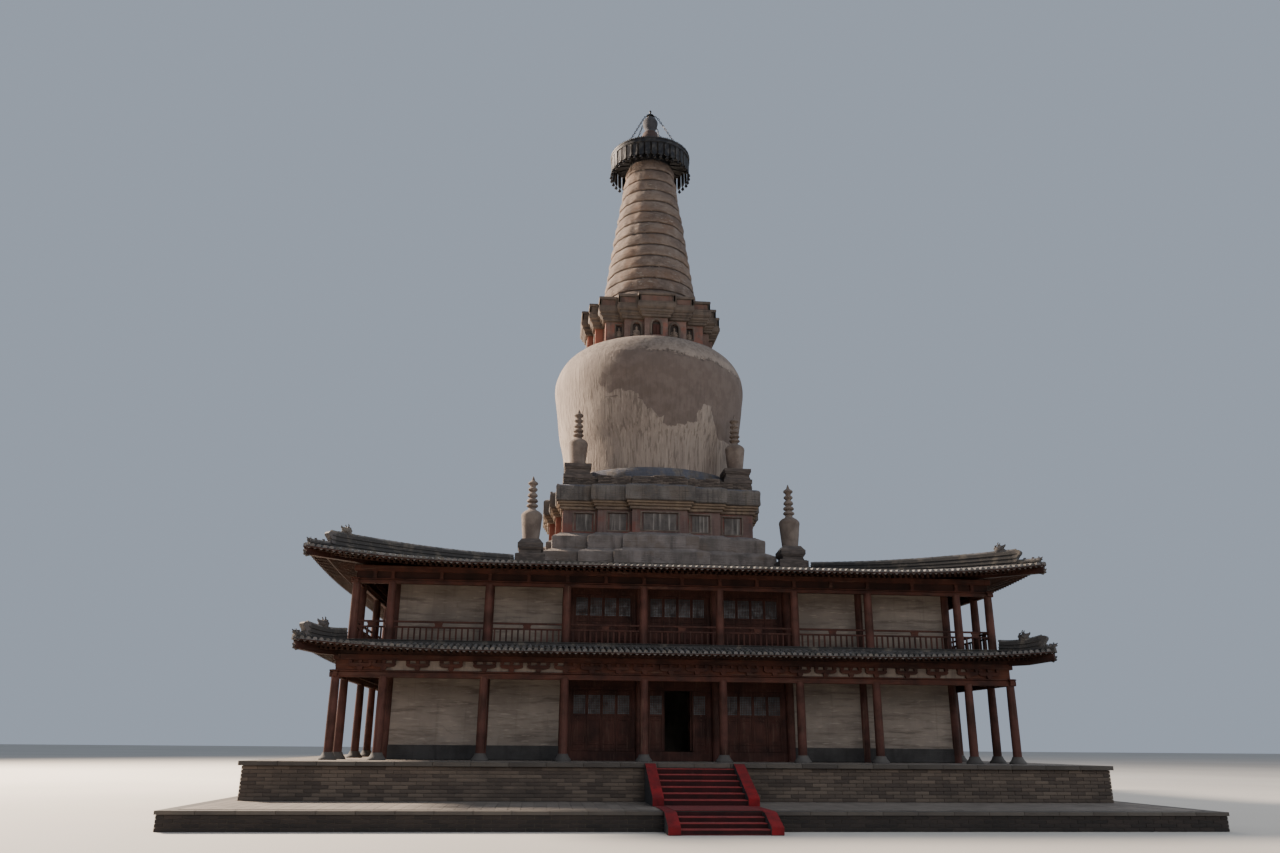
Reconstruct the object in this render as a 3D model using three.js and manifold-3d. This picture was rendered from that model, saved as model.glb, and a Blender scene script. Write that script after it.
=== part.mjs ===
// A bottle-shaped earthen stupa standing inside a two-storey timber gallery on a brick platform.
// Millimetres, Z up. The origin lies on the stupa's axis at ground level; the door faces -Y.
import * as THREE from "three";
import { mergeVertices } from "three/addons/utils/BufferGeometryUtils.js";
import Module from "manifold-3d";

const wasm = await Module();
wasm.setup();

// ground works
const TERRACE_TOP = 485;
const TERRACE_HALF = 13600;
const TERRACE_FRONT = 17000;
const PLATFORM_TOP = 1545;
const PLATFORM_HALF = 12850;
const COPING_OUT = 90;
const COPING_THICK = 130;
const SILL_HALF = 300;
const SILL_DEPTH = 60;
const STAIR_HALF = 1450;
const STRING_WIDTH = 300;

// gallery plan: the post lines of one side, measured from its middle
const POST_LINES = [1270, 3800, 6340, 9450];
const WALL_LINE = 9450;
const WALL_THICK = 200;
const WALL_TOP = 7700;
const WALL_POST_OUT = 45;
const CORE_HALF = 5800;
const POST_RADIUS = 135;
const POST_SIDES = 8;

// storeys
const LOWER = {
  line: 10900, floor: PLATFORM_TOP, base: 1765, lintel: 3980, lintelTop: 4200, purlin: 4500, top: 4680,
};
const DECK_TOP = 4950;
const DECK_HALF = 10740;
const DECK_LEDGE = 4830;
const UPPER = {
  line: 10580, floor: DECK_TOP, base: DECK_TOP, lintel: 6950, lintelTop: 7120, purlin: 7340, top: 7530,
};
const RAIL_TOP = 5780;
const RAIL_MID = 5605;
const RAIL_FOOT = 5150;
const BALUSTER_GAP = 1100;

// roofs: eave and head distances from the axis, and their heights
const LOWER_ROOF = {
  eave: 11900, head: DECK_HALF, zEave: 4840, zHead: 5060, lift: 260, push: 150, thick: 170,
};
const UPPER_ROOF = {
  eave: 11900, head: CORE_HALF, zEave: 7550, zHead: 8450, lift: 380, push: 150, thick: 170,
};
const HIP_HEIGHT = 430;
const HIP_END_RISE = 90;
const HIP_WIDTH = 300;
const HIP_GAP = 0.3;

// doorway in the middle bay of the lower storey
const DOOR_HALF = 490;
const DOOR_SILL = 1860;
const DOOR_HEAD = 3760;
const LEAF_THICK = 60;
const LEAF_GAP = 8;
const PIVOT_IN = 20;

// stupa
const ROOF_TERRACE_TOP = 8700;
const SUMERU = [[1130, 4420], [2510, 4160], [3920, 3920]];
const SUMERU_LEVELS = [ROOF_TERRACE_TOP, 9470, 10160, 11120, 11460, 12180, 12480];
const HARMIKA = [[520, 2950], [1400, 2640], [2230, 2230]];
const DOME_TOP = 19350;
const DOME_PROFILE = [
  [3790, 13060], [3920, 14400], [4100, 15300], [4310, 16900],
  [4380, 17500], [4340, 18000], [4190, 18430], [3920, 18820], [3550, 19140], [3120, DOME_TOP],
];
const RING_COUNT = 13;
const SPIRE_BOTTOM = 21420;
const SPIRE_TOP = 29750;
const SPIRE_R0 = 2350;
const SPIRE_R1 = 1120;
const CANOPY_RADIUS = 2000;
const CANOPY_BOTTOM = 30170;
const CANOPY_TOP = 30420;
const PLATE_COUNT = 38;
const PLATE_WIDTH = 250;
const PLATE_FOOT = 29460;
const STAY_SIZE = 50;
const STAY_FOOT = 30655.5;
const TIP = 33370;
const OUTER_MINI = {
  at: 5145, foot: 8700, block: 8990, blockHalf: 575, neckHalf: 410,
  slabFoot: 9230, slabTop: 9400, slabHalf: 490, top: 9580, tip: 12150,
};
const INNER_MINI = {
  at: 3355, foot: 12480, block: 12680, blockHalf: 595, neckHalf: 500,
  slabFoot: 12980, slabTop: 13120, slabHalf: 565, top: 13160, tip: 15650,
};

const group = new THREE.Group();
group.name = "stupa";

const STONE = material(0x77706a, 0.9, 0);
const BRICK = material(0x5f564e, 0.95, 0);
const EARTH = material(0x7d7064, 0.95, 0);
const BLUE_BRICK = material(0x4f5158, 0.95, 0);
const OCHRE = material(0x8a6f4a, 0.95, 0);
const TIMBER = material(0x6e2f22, 0.75, 0);
const PLASTER = material(0x8f8a80, 0.95, 0);
const TILE = material(0x3c3a38, 0.85, 0);
const CARPET = material(0x6e0f14, 1, 0);
const BRONZE = material(0x2e2b28, 0.55, 0.8);

function material(color, roughness, metalness) {
  return new THREE.MeshStandardMaterial({ color, roughness, metalness });
}

function toManifold(geometry) {
  const plain = geometry.clone();
  plain.deleteAttribute("normal");
  plain.deleteAttribute("uv");
  const merged = mergeVertices(plain, 1e-3);
  const mesh = new wasm.Mesh({
    numProp: 3,
    vertProperties: new Float32Array(merged.attributes.position.array),
    triVerts: new Uint32Array(merged.index.array),
  });
  return new wasm.Manifold(mesh);
}

function toGeometry(solid) {
  const mesh = solid.getMesh();
  const geometry = new THREE.BufferGeometry();
  geometry.setAttribute("position", new THREE.BufferAttribute(new Float32Array(mesh.vertProperties), 3));
  geometry.setIndex(new THREE.BufferAttribute(new Uint32Array(mesh.triVerts), 1));
  geometry.computeVertexNormals();
  return geometry;
}

function join(geometries) {
  let solid = toManifold(geometries[0]);
  for (const geometry of geometries.slice(1)) {
    solid = solid.add(toManifold(geometry));
  }
  return toGeometry(solid);
}

function cut(geometry, tools) {
  let solid = toManifold(geometry);
  for (const tool of tools) {
    solid = solid.subtract(toManifold(tool));
  }
  return toGeometry(solid);
}

function add(name, geometry, look) {
  const mesh = new THREE.Mesh(geometry, look);
  mesh.name = name;
  group.add(mesh);
  return mesh;
}

function box(x0, x1, y0, y1, z0, z1) {
  const geometry = new THREE.BoxGeometry(x1 - x0, y1 - y0, z1 - z0);
  geometry.translate((x0 + x1) / 2, (y0 + y1) / 2, (z0 + z1) / 2);
  return geometry;
}

function slab(half, z0, z1) {
  return box(-half, half, -half, half, z0, z1);
}

function prism(points, z0, z1) {
  const shape = new THREE.Shape(points.map(([x, y]) => new THREE.Vector2(x, y)));
  const geometry = new THREE.ExtrudeGeometry(shape, { depth: z1 - z0, bevelEnabled: false });
  geometry.translate(0, 0, z0);
  return geometry;
}

function lathe(profile, sides) {
  const points = profile.map(([r, z]) => new THREE.Vector2(r, z));
  const geometry = new THREE.LatheGeometry(points, sides);
  geometry.rotateX(Math.PI / 2);
  return geometry;
}

function post(x, y, z0, z1, radius = POST_RADIUS, sides = POST_SIDES) {
  const geometry = new THREE.CylinderGeometry(radius, radius * 1.04, z1 - z0, sides);
  geometry.rotateX(Math.PI / 2);
  geometry.translate(x, y, (z0 + z1) / 2);
  return geometry;
}

function turned(geometry, quarter) {
  const copy = geometry.clone();
  copy.rotateZ(quarter * Math.PI / 2);
  return copy;
}

// Outline of a square with stepped corners: half an eighth of it is given, from the middle outwards.
function redented(eighth, out) {
  const half = eighth.map(([a, d]) => [a + out, d + out]);
  const last = half[half.length - 1];
  const mirrored = half.map(([a, d]) => [d, a]).reverse();
  if (last[0] === last[1]) {
    mirrored.shift();
  }
  const corners = [...half, ...mirrored];
  const quarter = [];
  corners.forEach(([x, y], index) => {
    quarter.push([x, y]);
    if (index < corners.length - 1) {
      quarter.push([x, corners[index + 1][1]]);
    }
  });
  const outline = [];
  for (let turn = 0; turn < 4; turn += 1) {
    for (const [x, y] of quarter) {
      const point = turn % 2 ? [y, x] : [x, y];
      const signs = [[1, 1], [1, -1], [-1, -1], [-1, 1]][turn];
      outline.push([point[0] * signs[0], point[1] * signs[1]]);
    }
  }
  return outline;
}

// A solid of stepped-corner outlines laid one over the other; each level is [offset, height].
function redentedStack(eighth, levels) {
  const rings = levels.map(([out, z]) => redented(eighth, out).map(([x, y]) => [x, y, z]));
  return ringSolid(rings.map((ring) => ring.reverse()));
}

// Closed solid through a pile of outlines with equal numbers of points, counter-clockwise from above.
function ringSolid(rings) {
  const count = rings[0].length;
  const positions = rings.flat(2);
  const index = [];
  for (let level = 0; level < rings.length - 1; level += 1) {
    for (let i = 0; i < count; i += 1) {
      const next = (i + 1) % count;
      const a = level * count + i;
      const b = level * count + next;
      index.push(a, b, b + count, a, b + count, a + count);
    }
  }
  const flat = rings[0].map(([x, y]) => new THREE.Vector2(x, y));
  const top = (rings.length - 1) * count;
  const roof = rings[rings.length - 1].map(([x, y]) => new THREE.Vector2(x, y));
  for (const [a, b, c] of THREE.ShapeUtils.triangulateShape(flat, [])) {
    index.push(a, c, b);
  }
  for (const [a, b, c] of THREE.ShapeUtils.triangulateShape(roof, [])) {
    index.push(top + a, top + b, top + c);
  }
  return indexed(positions, index);
}

function indexed(positions, index) {
  const geometry = new THREE.BufferGeometry();
  geometry.setAttribute("position", new THREE.BufferAttribute(new Float32Array(positions), 3));
  geometry.setIndex(index);
  geometry.computeVertexNormals();
  return geometry;
}

// Terrace, platform and the two flights of steps. The flared bases of the posts stand on one sill
// of stone, which lies in a groove of the platform and is level with its floor.
function groundWorks() {
  add("lower_terrace", box(-TERRACE_HALF, TERRACE_HALF, -TERRACE_FRONT, TERRACE_HALF, 0, TERRACE_TOP), BRICK);
  const copingHalf = PLATFORM_HALF + COPING_OUT;
  const body = slab(PLATFORM_HALF, TERRACE_TOP, PLATFORM_TOP);
  const coping = slab(copingHalf, PLATFORM_TOP - COPING_THICK, PLATFORM_TOP);
  const outer = LOWER.line + SILL_HALF;
  const inner = LOWER.line - SILL_HALF;
  const bottom = PLATFORM_TOP - SILL_DEPTH;
  const groove = cut(slab(outer, bottom, PLATFORM_TOP + 50), [slab(inner, bottom - 50, PLATFORM_TOP + 100)]);
  add("platform", cut(join([body, coping]), [groove]), STONE);
  const pieces = [cut(slab(outer, bottom, PLATFORM_TOP), [slab(inner, bottom - 50, PLATFORM_TOP + 50)])];
  for (const [x, y] of ringOfPosts()) {
    const base = new THREE.CylinderGeometry(165, 275, LOWER.base - PLATFORM_TOP + 20, 6);
    base.rotateX(Math.PI / 2);
    base.translate(x, y, (LOWER.base + PLATFORM_TOP - 20) / 2);
    pieces.push(base);
  }
  add("column_bases", join(pieces), STONE);
  flight("upper_steps", -PLATFORM_HALF, PLATFORM_TOP, TERRACE_TOP, 7, 360, STAIR_HALF);
  flight("lower_steps", -TERRACE_FRONT, TERRACE_TOP, 0, 4, 300, STAIR_HALF - 50);
}

function ringOfPosts() {
  const spots = [];
  const line = LOWER.line;
  for (const along of [...POST_LINES, ...POST_LINES.map((place) => -place)]) {
    spots.push([along, -line], [along, line], [-line, along], [line, along]);
  }
  spots.push([-line, -line], [line, -line], [-line, line], [line, line]);
  return spots;
}

function flight(name, yStart, zTop, zFoot, risers, tread, half) {
  const rise = (zTop - zFoot) / risers;
  const inner = half - STRING_WIDTH;
  const pieces = [];
  for (let step = 1; step < risers; step += 1) {
    pieces.push(box(-inner - 20, inner + 20, yStart - step * tread, yStart, zFoot, zTop - step * rise));
  }
  const reach = yStart - (risers - 1) * tread;
  const start = yStart - COPING_OUT - 1;
  for (const side of [-1, 1]) {
    const outline = [
      [start, zFoot], [start, zTop - 20], [start - 150, zTop - 20],
      [reach - 60, zFoot + rise + 60], [reach - 60, zFoot],
    ];
    const string = prism(outline, 0, STRING_WIDTH);
    const basis = new THREE.Matrix4().set(0, 0, 1, 0, 1, 0, 0, 0, 0, 1, 0, 0, 0, 0, 0, 1);
    string.applyMatrix4(basis);
    string.translate(side > 0 ? inner : -half, 0, 0);
    pieces.push(string);
  }
  add(name, join(pieces), CARPET);
}

// Masonry heart of the building and the two floors it carries. The deck's ledge rests on the lower purlins.
function heart() {
  add("masonry_core", slab(CORE_HALF, PLATFORM_TOP, 8200), BRICK);
  add("roof_terrace", slab(CORE_HALF, 8200, ROOF_TERRACE_TOP), STONE);
  const deck = join([slab(DECK_HALF, LOWER.top, DECK_TOP), slab(LOWER.line + 90, LOWER.top, DECK_LEDGE)]);
  add("gallery_deck", cut(deck, [slab(CORE_HALF, LOWER.top - 50, DECK_TOP + 50)]), TIMBER);
}

// Posts, lintel, frieze and purlin of one side of the gallery.
function colonnade(name, storey, quarter, withCorners, withRailing) {
  const lines = withCorners ? [...POST_LINES, storey.line] : POST_LINES;
  const y = -storey.line;
  const solids = [];
  for (const line of lines) {
    for (const side of [-1, 1]) {
      solids.push(post(side * line, y, storey.base, storey.lintel));
    }
  }
  const clear = POST_RADIUS * 1.04 + 1;
  const end = withCorners ? storey.line : storey.line - clear;
  const purlinEnd = withCorners ? storey.line + 110 : storey.line - clear;
  solids.push(box(-end, end, y - 70, y + 70, storey.lintel, storey.lintelTop));
  solids.push(box(-end, end, y - 45, y + 45, storey.lintelTop, storey.purlin));
  solids.push(box(-purlinEnd, purlinEnd, y - 110, y + 110, storey.purlin, storey.top));
  if (withRailing) {
    solids.push(railing(end, y));
  }
  add(name, turned(join(solids), quarter), TIMBER);
}

// A flat railing: a foot, a middle and a top rail with upright bars between the lower two.
function railing(end, y) {
  const gap = (x0, x1, z0, z1) => box(x0, x1, y - 50, y + 50, z0, z1);
  const tools = [gap(-end + 60, end - 60, RAIL_MID, RAIL_TOP - 60)];
  const count = Math.floor((end * 2) / BALUSTER_GAP);
  const pitch = (end * 2) / count;
  for (let i = 0; i < count; i += 1) {
    const x = -end + i * pitch;
    tools.push(gap(x + 20, x + pitch - 20, RAIL_FOOT, RAIL_MID - 50));
  }
  return cut(box(-end, end, y - 25, y + 25, RAIL_FOOT - 60, RAIL_TOP), tools);
}

// A stretch of wall with its engaged posts.
function wallRun(x0, x1, z0, z1, postsAt, thick = WALL_THICK) {
  const pieces = [box(x0, x1, -WALL_LINE - thick / 2, -WALL_LINE + thick / 2, z0, z1)];
  for (const x of postsAt) {
    pieces.push(post(x, -WALL_LINE - WALL_POST_OUT, z0, z1));
  }
  return pieces;
}

function frontWalls(prefix, z0, z1) {
  const [a, b, c, d] = POST_LINES;
  add(`${prefix}_wall_front_left`, join(wallRun(-d, -b, z0, z1, [-d, -c, -b])), PLASTER);
  add(`${prefix}_wall_front_right`, join(wallRun(b, d, z0, z1, [b, c, d])), PLASTER);
  return [a, b];
}

function rearWalls(prefix, z0, z1) {
  const [a, b, c, d] = POST_LINES;
  const solids = [];
  const clear = WALL_THICK / 2 + 0.5;
  for (const quarter of [1, 2, 3]) {
    const run = wallRun(-d, d, z0, z1, [-c, -b, b, c, d]);
    solids.push(...run.map((piece) => turned(piece, quarter)));
  }
  const trim = box(-d - 500, d + 500, -d - 500, -d + clear, z0 - 10, z1 + 10);
  add(`${prefix}_walls_sides_and_back`, cut(join(solids), [trim]), PLASTER);
}

function screen(x0, x1, z0, z1) {
  const panel = box(x0, x1, -WALL_LINE - 50, -WALL_LINE + 50, z0, z1);
  const count = 4;
  const inset = 150;
  const width = (x1 - x0 - 2 * inset) / count;
  const tools = [];
  for (let i = 0; i < count; i += 1) {
    const left = x0 + inset + i * width;
    for (const [foot, head] of [[z0 + 260, z0 + 1000], [z0 + 1150, z0 + 1790]]) {
      tools.push(box(left + 60, left + width - 60, -WALL_LINE - 80, -WALL_LINE - 20, foot, head));
    }
  }
  return cut(panel, tools);
}

function lowerWalls() {
  const z0 = LOWER.floor;
  const z1 = LOWER.top;
  const [a, b] = frontWalls("lower", z0, z1);
  const clear = POST_RADIUS * 1.04 + 1;
  add("lower_screen_left", screen(-b + clear, -a - clear, z0, z1), TIMBER);
  add("lower_screen_right", screen(a + clear, b - clear, z0, z1), TIMBER);
  rearWalls("lower", z0, z1);
  const frame = box(-a, a, -WALL_LINE - 60, -WALL_LINE + 60, z0, z1);
  const opening = box(-DOOR_HALF, DOOR_HALF, -WALL_LINE - 200, -WALL_LINE + 200, DOOR_SILL, DOOR_HEAD);
  const inner = -WALL_LINE + 60;
  const solids = [
    cut(frame, [opening]),
    box(-DOOR_HALF - 110, DOOR_HALF + 110, inner, inner + 80, DOOR_HEAD, DOOR_HEAD + 120),
    box(-DOOR_HALF - 70, -DOOR_HALF + 70, inner, inner + 90, z0, DOOR_SILL),
    box(DOOR_HALF - 70, DOOR_HALF + 70, inner, inner + 90, z0, DOOR_SILL),
  ];
  solids.push(post(-a, -WALL_LINE - WALL_POST_OUT, z0, z1), post(a, -WALL_LINE - WALL_POST_OUT, z0, z1));
  add("door_frame", join(solids), TIMBER);
}

function upperWalls() {
  const z0 = UPPER.floor;
  const z1 = WALL_TOP;
  const [a, b] = frontWalls("upper", z0, z1);
  const clear = POST_RADIUS * 1.04 + 1;
  rearWalls("upper", z0, z1);
  const solids = [
    screen(-b + clear, -a, z0, z1), screen(-a, a, z0, z1), screen(a, b - clear, z0, z1),
    post(-a, -WALL_LINE - WALL_POST_OUT, z0, z1), post(a, -WALL_LINE - WALL_POST_OUT, z0, z1),
  ];
  add("upper_screens_front", join(solids), TIMBER);
}

// Leaves stand open at a right angle, inside the building, each on a pivot at its top and its foot.
function doorLeaves() {
  const width = DOOR_HALF - 1.5 * LEAF_GAP;
  const inside = -WALL_LINE + 60 + LEAF_GAP;
  for (const [name, side] of [["door_leaf_left", -1], ["door_leaf_right", 1]]) {
    const outer = side * (DOOR_HALF - LEAF_GAP);
    const x0 = Math.min(outer, outer - side * LEAF_THICK);
    const leaf = box(x0, x0 + LEAF_THICK, inside, inside + width, DOOR_SILL + LEAF_GAP, DOOR_HEAD - LEAF_GAP);
    const face = side > 0 ? x0 : x0 + LEAF_THICK;
    const tools = [[150, 900], [1150, 1740]].map(([z0, z1]) => box(
      face - 20, face + 20, inside + 70, inside + width - 70, DOOR_SILL + z0, DOOR_SILL + z1,
    ));
    const pivotX = outer - side * PIVOT_IN;
    const pivotY = inside + PIVOT_IN;
    const foot = post(pivotX, pivotY, DOOR_SILL + 0.3, DOOR_SILL + 60, 13);
    const head = post(pivotX, pivotY, DOOR_HEAD - 60, DOOR_HEAD - 0.3, 13);
    add(name, join([cut(leaf, tools), foot, head]), TIMBER);
  }
}

const ROOF_ALONG = 14;
const ROOF_ACROSS = 3;

function roofPoint(roof, u, v) {
  const bend = Math.max(0, (Math.abs(u) - 0.5) / 0.5) ** 2.2;
  const out = roof.head + (roof.eave - roof.head) * (1 - v) + roof.push * bend * (1 - v);
  const z = roof.zEave + (roof.zHead - roof.zEave) * v + roof.lift * bend * (1 - v) ** 2;
  return [u * out, out, z];
}

function placed([along, out, z], side) {
  return [[along, -out, z], [out, along, z], [-along, out, z], [-out, -along, z]][side];
}

function roofGeometry(roof) {
  const count = 4 * ROOF_ALONG;
  const rows = ROOF_ACROSS + 1;
  const positions = [];
  for (const drop of [0, roof.thick]) {
    for (let j = 0; j < rows; j += 1) {
      for (let i = 0; i < count; i += 1) {
        const u = Math.sin((Math.PI / 2) * (-1 + (2 * (i % ROOF_ALONG)) / ROOF_ALONG));
        const point = roofPoint(roof, u, j / ROOF_ACROSS);
        const [x, y, z] = placed(point, Math.floor(i / ROOF_ALONG));
        positions.push(x, y, z - drop);
      }
    }
  }
  const at = (i, j, layer) => (layer * rows + j) * count + (i % count);
  const index = [];
  const quad = (a, b, c, d) => index.push(a, b, c, a, c, d);
  for (let i = 0; i < count; i += 1) {
    for (let j = 0; j < ROOF_ACROSS; j += 1) {
      quad(at(i, j, 0), at(i + 1, j, 0), at(i + 1, j + 1, 0), at(i, j + 1, 0));
      quad(at(i, j + 1, 1), at(i + 1, j + 1, 1), at(i + 1, j, 1), at(i, j, 1));
    }
    quad(at(i, 0, 1), at(i + 1, 0, 1), at(i + 1, 0, 0), at(i, 0, 0));
    quad(at(i + 1, ROOF_ACROSS, 1), at(i, ROOF_ACROSS, 1), at(i, ROOF_ACROSS, 0), at(i + 1, ROOF_ACROSS, 0));
  }
  return indexed(positions, index);
}

// One hip ridge on the corner between two slopes, swept along the mitre.
function hip(roof, side, steps, height) {
  const half = (HIP_WIDTH / 2 + 1) / Math.SQRT2;
  const rings = [];
  for (let i = 0; i <= steps; i += 1) {
    const v = 0.03 + (0.97 * i) / steps;
    const [along, out, z] = roofPoint(roof, 1, v);
    const low = z - 60;
    const high = z + height + HIP_END_RISE * (1 - v);
    const section = [[half, low], [-half, low], [-half, high], [half, high]];
    rings.push(section.map(([w, h]) => placed([along + w, out - w, h], side)));
  }
  return ringTube(rings);
}

function ringTube(rings) {
  const positions = rings.flat(2);
  const index = [];
  for (let k = 0; k < rings.length - 1; k += 1) {
    for (let i = 0; i < 4; i += 1) {
      const a = k * 4 + i;
      const b = k * 4 + ((i + 1) % 4);
      index.push(a, b, b + 4, a, b + 4, a + 4);
    }
  }
  const last = (rings.length - 1) * 4;
  index.push(0, 2, 1, 0, 3, 2, last, last + 1, last + 2, last, last + 2, last + 3);
  return indexed(positions, index);
}

// A roof in four slopes. Each slope carries the hip ridge at its right-hand end, short of the next slope.
function roofWithHips(name, roof, steps) {
  const pieces = [roofGeometry(roof)];
  for (let side = 0; side < 4; side += 1) {
    pieces.push(hip(roof, side, steps, HIP_HEIGHT));
  }
  const trim = slab(roof.head, roof.zEave - 400, roof.zHead + 900);
  const whole = toManifold(cut(join(pieces), [trim]));
  const near = roof.head - 1000;
  const far = roof.eave + 1500;
  const right = (HIP_WIDTH / 2) * Math.SQRT2;
  const left = (HIP_WIDTH / 2 + HIP_GAP) * Math.SQRT2;
  const plan = [[left - near, -near], [left - far, -far], [far + right, -far], [near + right, -near]];
  ["front", "right", "back", "left"].forEach((where, side) => {
    const wedge = turned(prism(plan, roof.zEave - 500, roof.zHead + 1000), side);
    add(`${name}_${where}`, toGeometry(whole.intersect(toManifold(wedge))), TILE);
  });
}

// The stepped-corner base in six courses, the ring and the bottle-shaped body.
function sumeru() {
  const z = SUMERU_LEVELS;
  const lowest = redentedStack(SUMERU, [[770, z[0]], [770, z[1] - 280], [400, z[1]]]);
  add("base_lower_course", cut(lowest, cornerBlocks(OUTER_MINI)), BRICK);
  add("base_upper_course", redentedStack(SUMERU, [[400, z[1]], [400, z[2] - 285], [90, z[2]]]), BRICK);
  const tools = [];
  const [near, middle, far] = SUMERU.map((corner) => corner[1]);
  const panels = [
    [0, 750, near], [-1690, 415, middle], [1690, 415, middle], [-3060, 405, far], [3060, 405, far],
  ];
  for (const [x, half, depth] of panels) {
    const tool = box(x - half, x + half, -depth - 50, -depth + 70, z[2] + 120, z[3] - 120);
    for (let quarter = 0; quarter < 4; quarter += 1) {
      tools.push(turned(tool, quarter));
    }
  }
  add("base_waist", cut(redentedStack(SUMERU, [[0, z[2]], [0, z[3]]]), tools), BLUE_BRICK);
  const steps = [
    [30, z[3]], [100, z[3] + 30], [100, z[3] + 120], [170, z[3] + 150], [170, z[3] + 230],
    [230, z[3] + 260], [230, z[4]],
  ];
  add("base_cornice", redentedStack(SUMERU, steps), OCHRE);
  const band = [[290, z[4]], [300, z[4] + 60], [300, z[5] - 260], [230, z[5] - 100], [60, z[5]]];
  add("base_band", redentedStack(SUMERU, band), BLUE_BRICK);
  add("base_parapet", redentedStack(SUMERU, [[30, z[5]], [30, z[6]]]), BRICK);
  const ring = lathe([[0, z[6]], [4010, z[6]], [4010, 12800], [3900, 13060], [0, 13060]], 40);
  add("dome_ring", cut(ring, cornerBlocks(INNER_MINI)), BLUE_BRICK);
  add("dome", lathe([[0, 13060], ...DOME_PROFILE, [0, DOME_TOP]], 40), EARTH);
}

// Room for the blocks and slabs of the small corner stupas.
function cornerBlocks(spec) {
  const rooms = [];
  for (const [sx, sy] of [[-1, -1], [1, -1], [-1, 1], [1, 1]]) {
    const block = slab(spec.blockHalf + 0.5, spec.foot - 50, spec.block + 0.5);
    const top = slab(spec.slabHalf + 0.5, spec.slabFoot - 100, spec.top + 0.5);
    rooms.push(block.translate(sx * spec.at, sy * spec.at, 0), top.translate(sx * spec.at, sy * spec.at, 0));
  }
  return rooms;
}

// The small stepped-corner house over the dome: niched wall, corbel courses and frieze.
function harmika() {
  const tools = [];
  const arched = [[0, 210, 2950, 20170], [-855, 200, 2640, 20150], [855, 200, 2640, 20150]];
  for (const [x, half, depth, z1] of arched) {
    const niche = box(x - half, x + half, -depth - 50, -depth + 130, 19480, z1 - half);
    const arch = new THREE.CylinderGeometry(half, half, 180, 8);
    arch.translate(x, -depth + 40, z1 - half);
    for (let quarter = 0; quarter < 4; quarter += 1) {
      tools.push(turned(niche, quarter), turned(arch, quarter));
    }
  }
  for (const x of [-1615, 1615]) {
    const niche = box(x - 140, x + 140, -2280, -2230 + 110, 19620, 20150);
    for (let quarter = 0; quarter < 4; quarter += 1) {
      tools.push(turned(niche, quarter));
    }
  }
  add("harmika_wall", cut(redentedStack(HARMIKA, [[0, DOME_TOP], [0, 20300]]), tools), EARTH);
  const steps = [[130, 20300], [130, 20420], [240, 20420], [240, 20630], [330, 20630], [330, 20910]];
  add("harmika_corbels", redentedStack(HARMIKA, steps), EARTH);
  add("harmika_frieze", redentedStack(HARMIKA, [[300, 20910], [300, SPIRE_BOTTOM]]), EARTH);
}

function spire() {
  const profile = [[0, SPIRE_BOTTOM], [SPIRE_R0 - 60, SPIRE_BOTTOM]];
  const pitch = (SPIRE_TOP - SPIRE_BOTTOM) / RING_COUNT;
  for (let ring = 0; ring < RING_COUNT; ring += 1) {
    const z = SPIRE_BOTTOM + ring * pitch;
    const r = SPIRE_R0 + ((SPIRE_R1 - SPIRE_R0) * ring) / RING_COUNT;
    for (const [inward, share] of [[0, 0.05], [0, 0.4], [65, 0.75], [120, 0.97]]) {
      profile.push([r - inward, z + share * pitch]);
    }
  }
  profile.push([SPIRE_R1 - 60, SPIRE_TOP], [0, SPIRE_TOP]);
  add("ringed_spire", lathe(profile, 20), EARTH);
}

// Bronze canopy: a disc with a conical roof on a short neck, and the plates hanging from its rim.
function canopy() {
  const rim = CANOPY_RADIUS;
  const disc = lathe([
    [0, SPIRE_TOP], [SPIRE_R1 - 90, SPIRE_TOP], [SPIRE_R1 - 90, CANOPY_BOTTOM], [rim, CANOPY_BOTTOM],
    [rim, CANOPY_TOP], [rim - 90, CANOPY_TOP + 30], [600, 31180], [0, 31200],
  ], 32);
  const half = PLATE_WIDTH / 2;
  const outline = [
    [-half, CANOPY_BOTTOM + 20], [-half, PLATE_FOOT + 70], [-half * 0.6, PLATE_FOOT],
    [half * 0.6, PLATE_FOOT], [half, PLATE_FOOT + 70], [half, CANOPY_BOTTOM + 20],
  ];
  const pieces = [disc];
  for (let plate = 0; plate < PLATE_COUNT; plate += 1) {
    const piece = prism(outline, 0, 24);
    piece.rotateX(Math.PI / 2);
    piece.translate(0, rim - 45, 0);
    piece.rotateZ((2 * Math.PI * plate) / PLATE_COUNT);
    pieces.push(piece);
  }
  add("canopy", join(pieces), BRONZE);
}

function finial() {
  const vase = [
    [0, 31200], [500, 31200], [500, 31560], [400, 31800], [385, 31890], [310, 31995],
    [252, 32124], [343, 32330], [382, 32505], [375, 32640], [298, 32770], [184, 32905],
    [90, 33000], [45, 33060], [38, 33180], [61, 33290], [40, 33330], [0, TIP],
  ];
  add("finial_vase", lathe(vase, 12), EARTH);
}

// Four stays run from a collar under the tip, over the shoulder of the vase, to the canopy.
function stays() {
  const collar = lathe([[110, 32988.7], [190, 32988.7], [190, 33036], [110, 33036], [110, 32988.7]], 8);
  const pieces = [collar];
  const path = [[150, 33015], [500, 32640], [1620, STAY_FOOT]];
  for (let quarter = 0; quarter < 4; quarter += 1) {
    const angle = Math.PI / 4 + (quarter * Math.PI) / 2;
    const points = path.map(([r, z]) => new THREE.Vector3(r * Math.cos(angle), r * Math.sin(angle), z));
    pieces.push(bar(points[0], points[1], STAY_SIZE), bar(points[1], points[2], STAY_SIZE));
  }
  add("canopy_stays", join(pieces), BRONZE);
}

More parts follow.
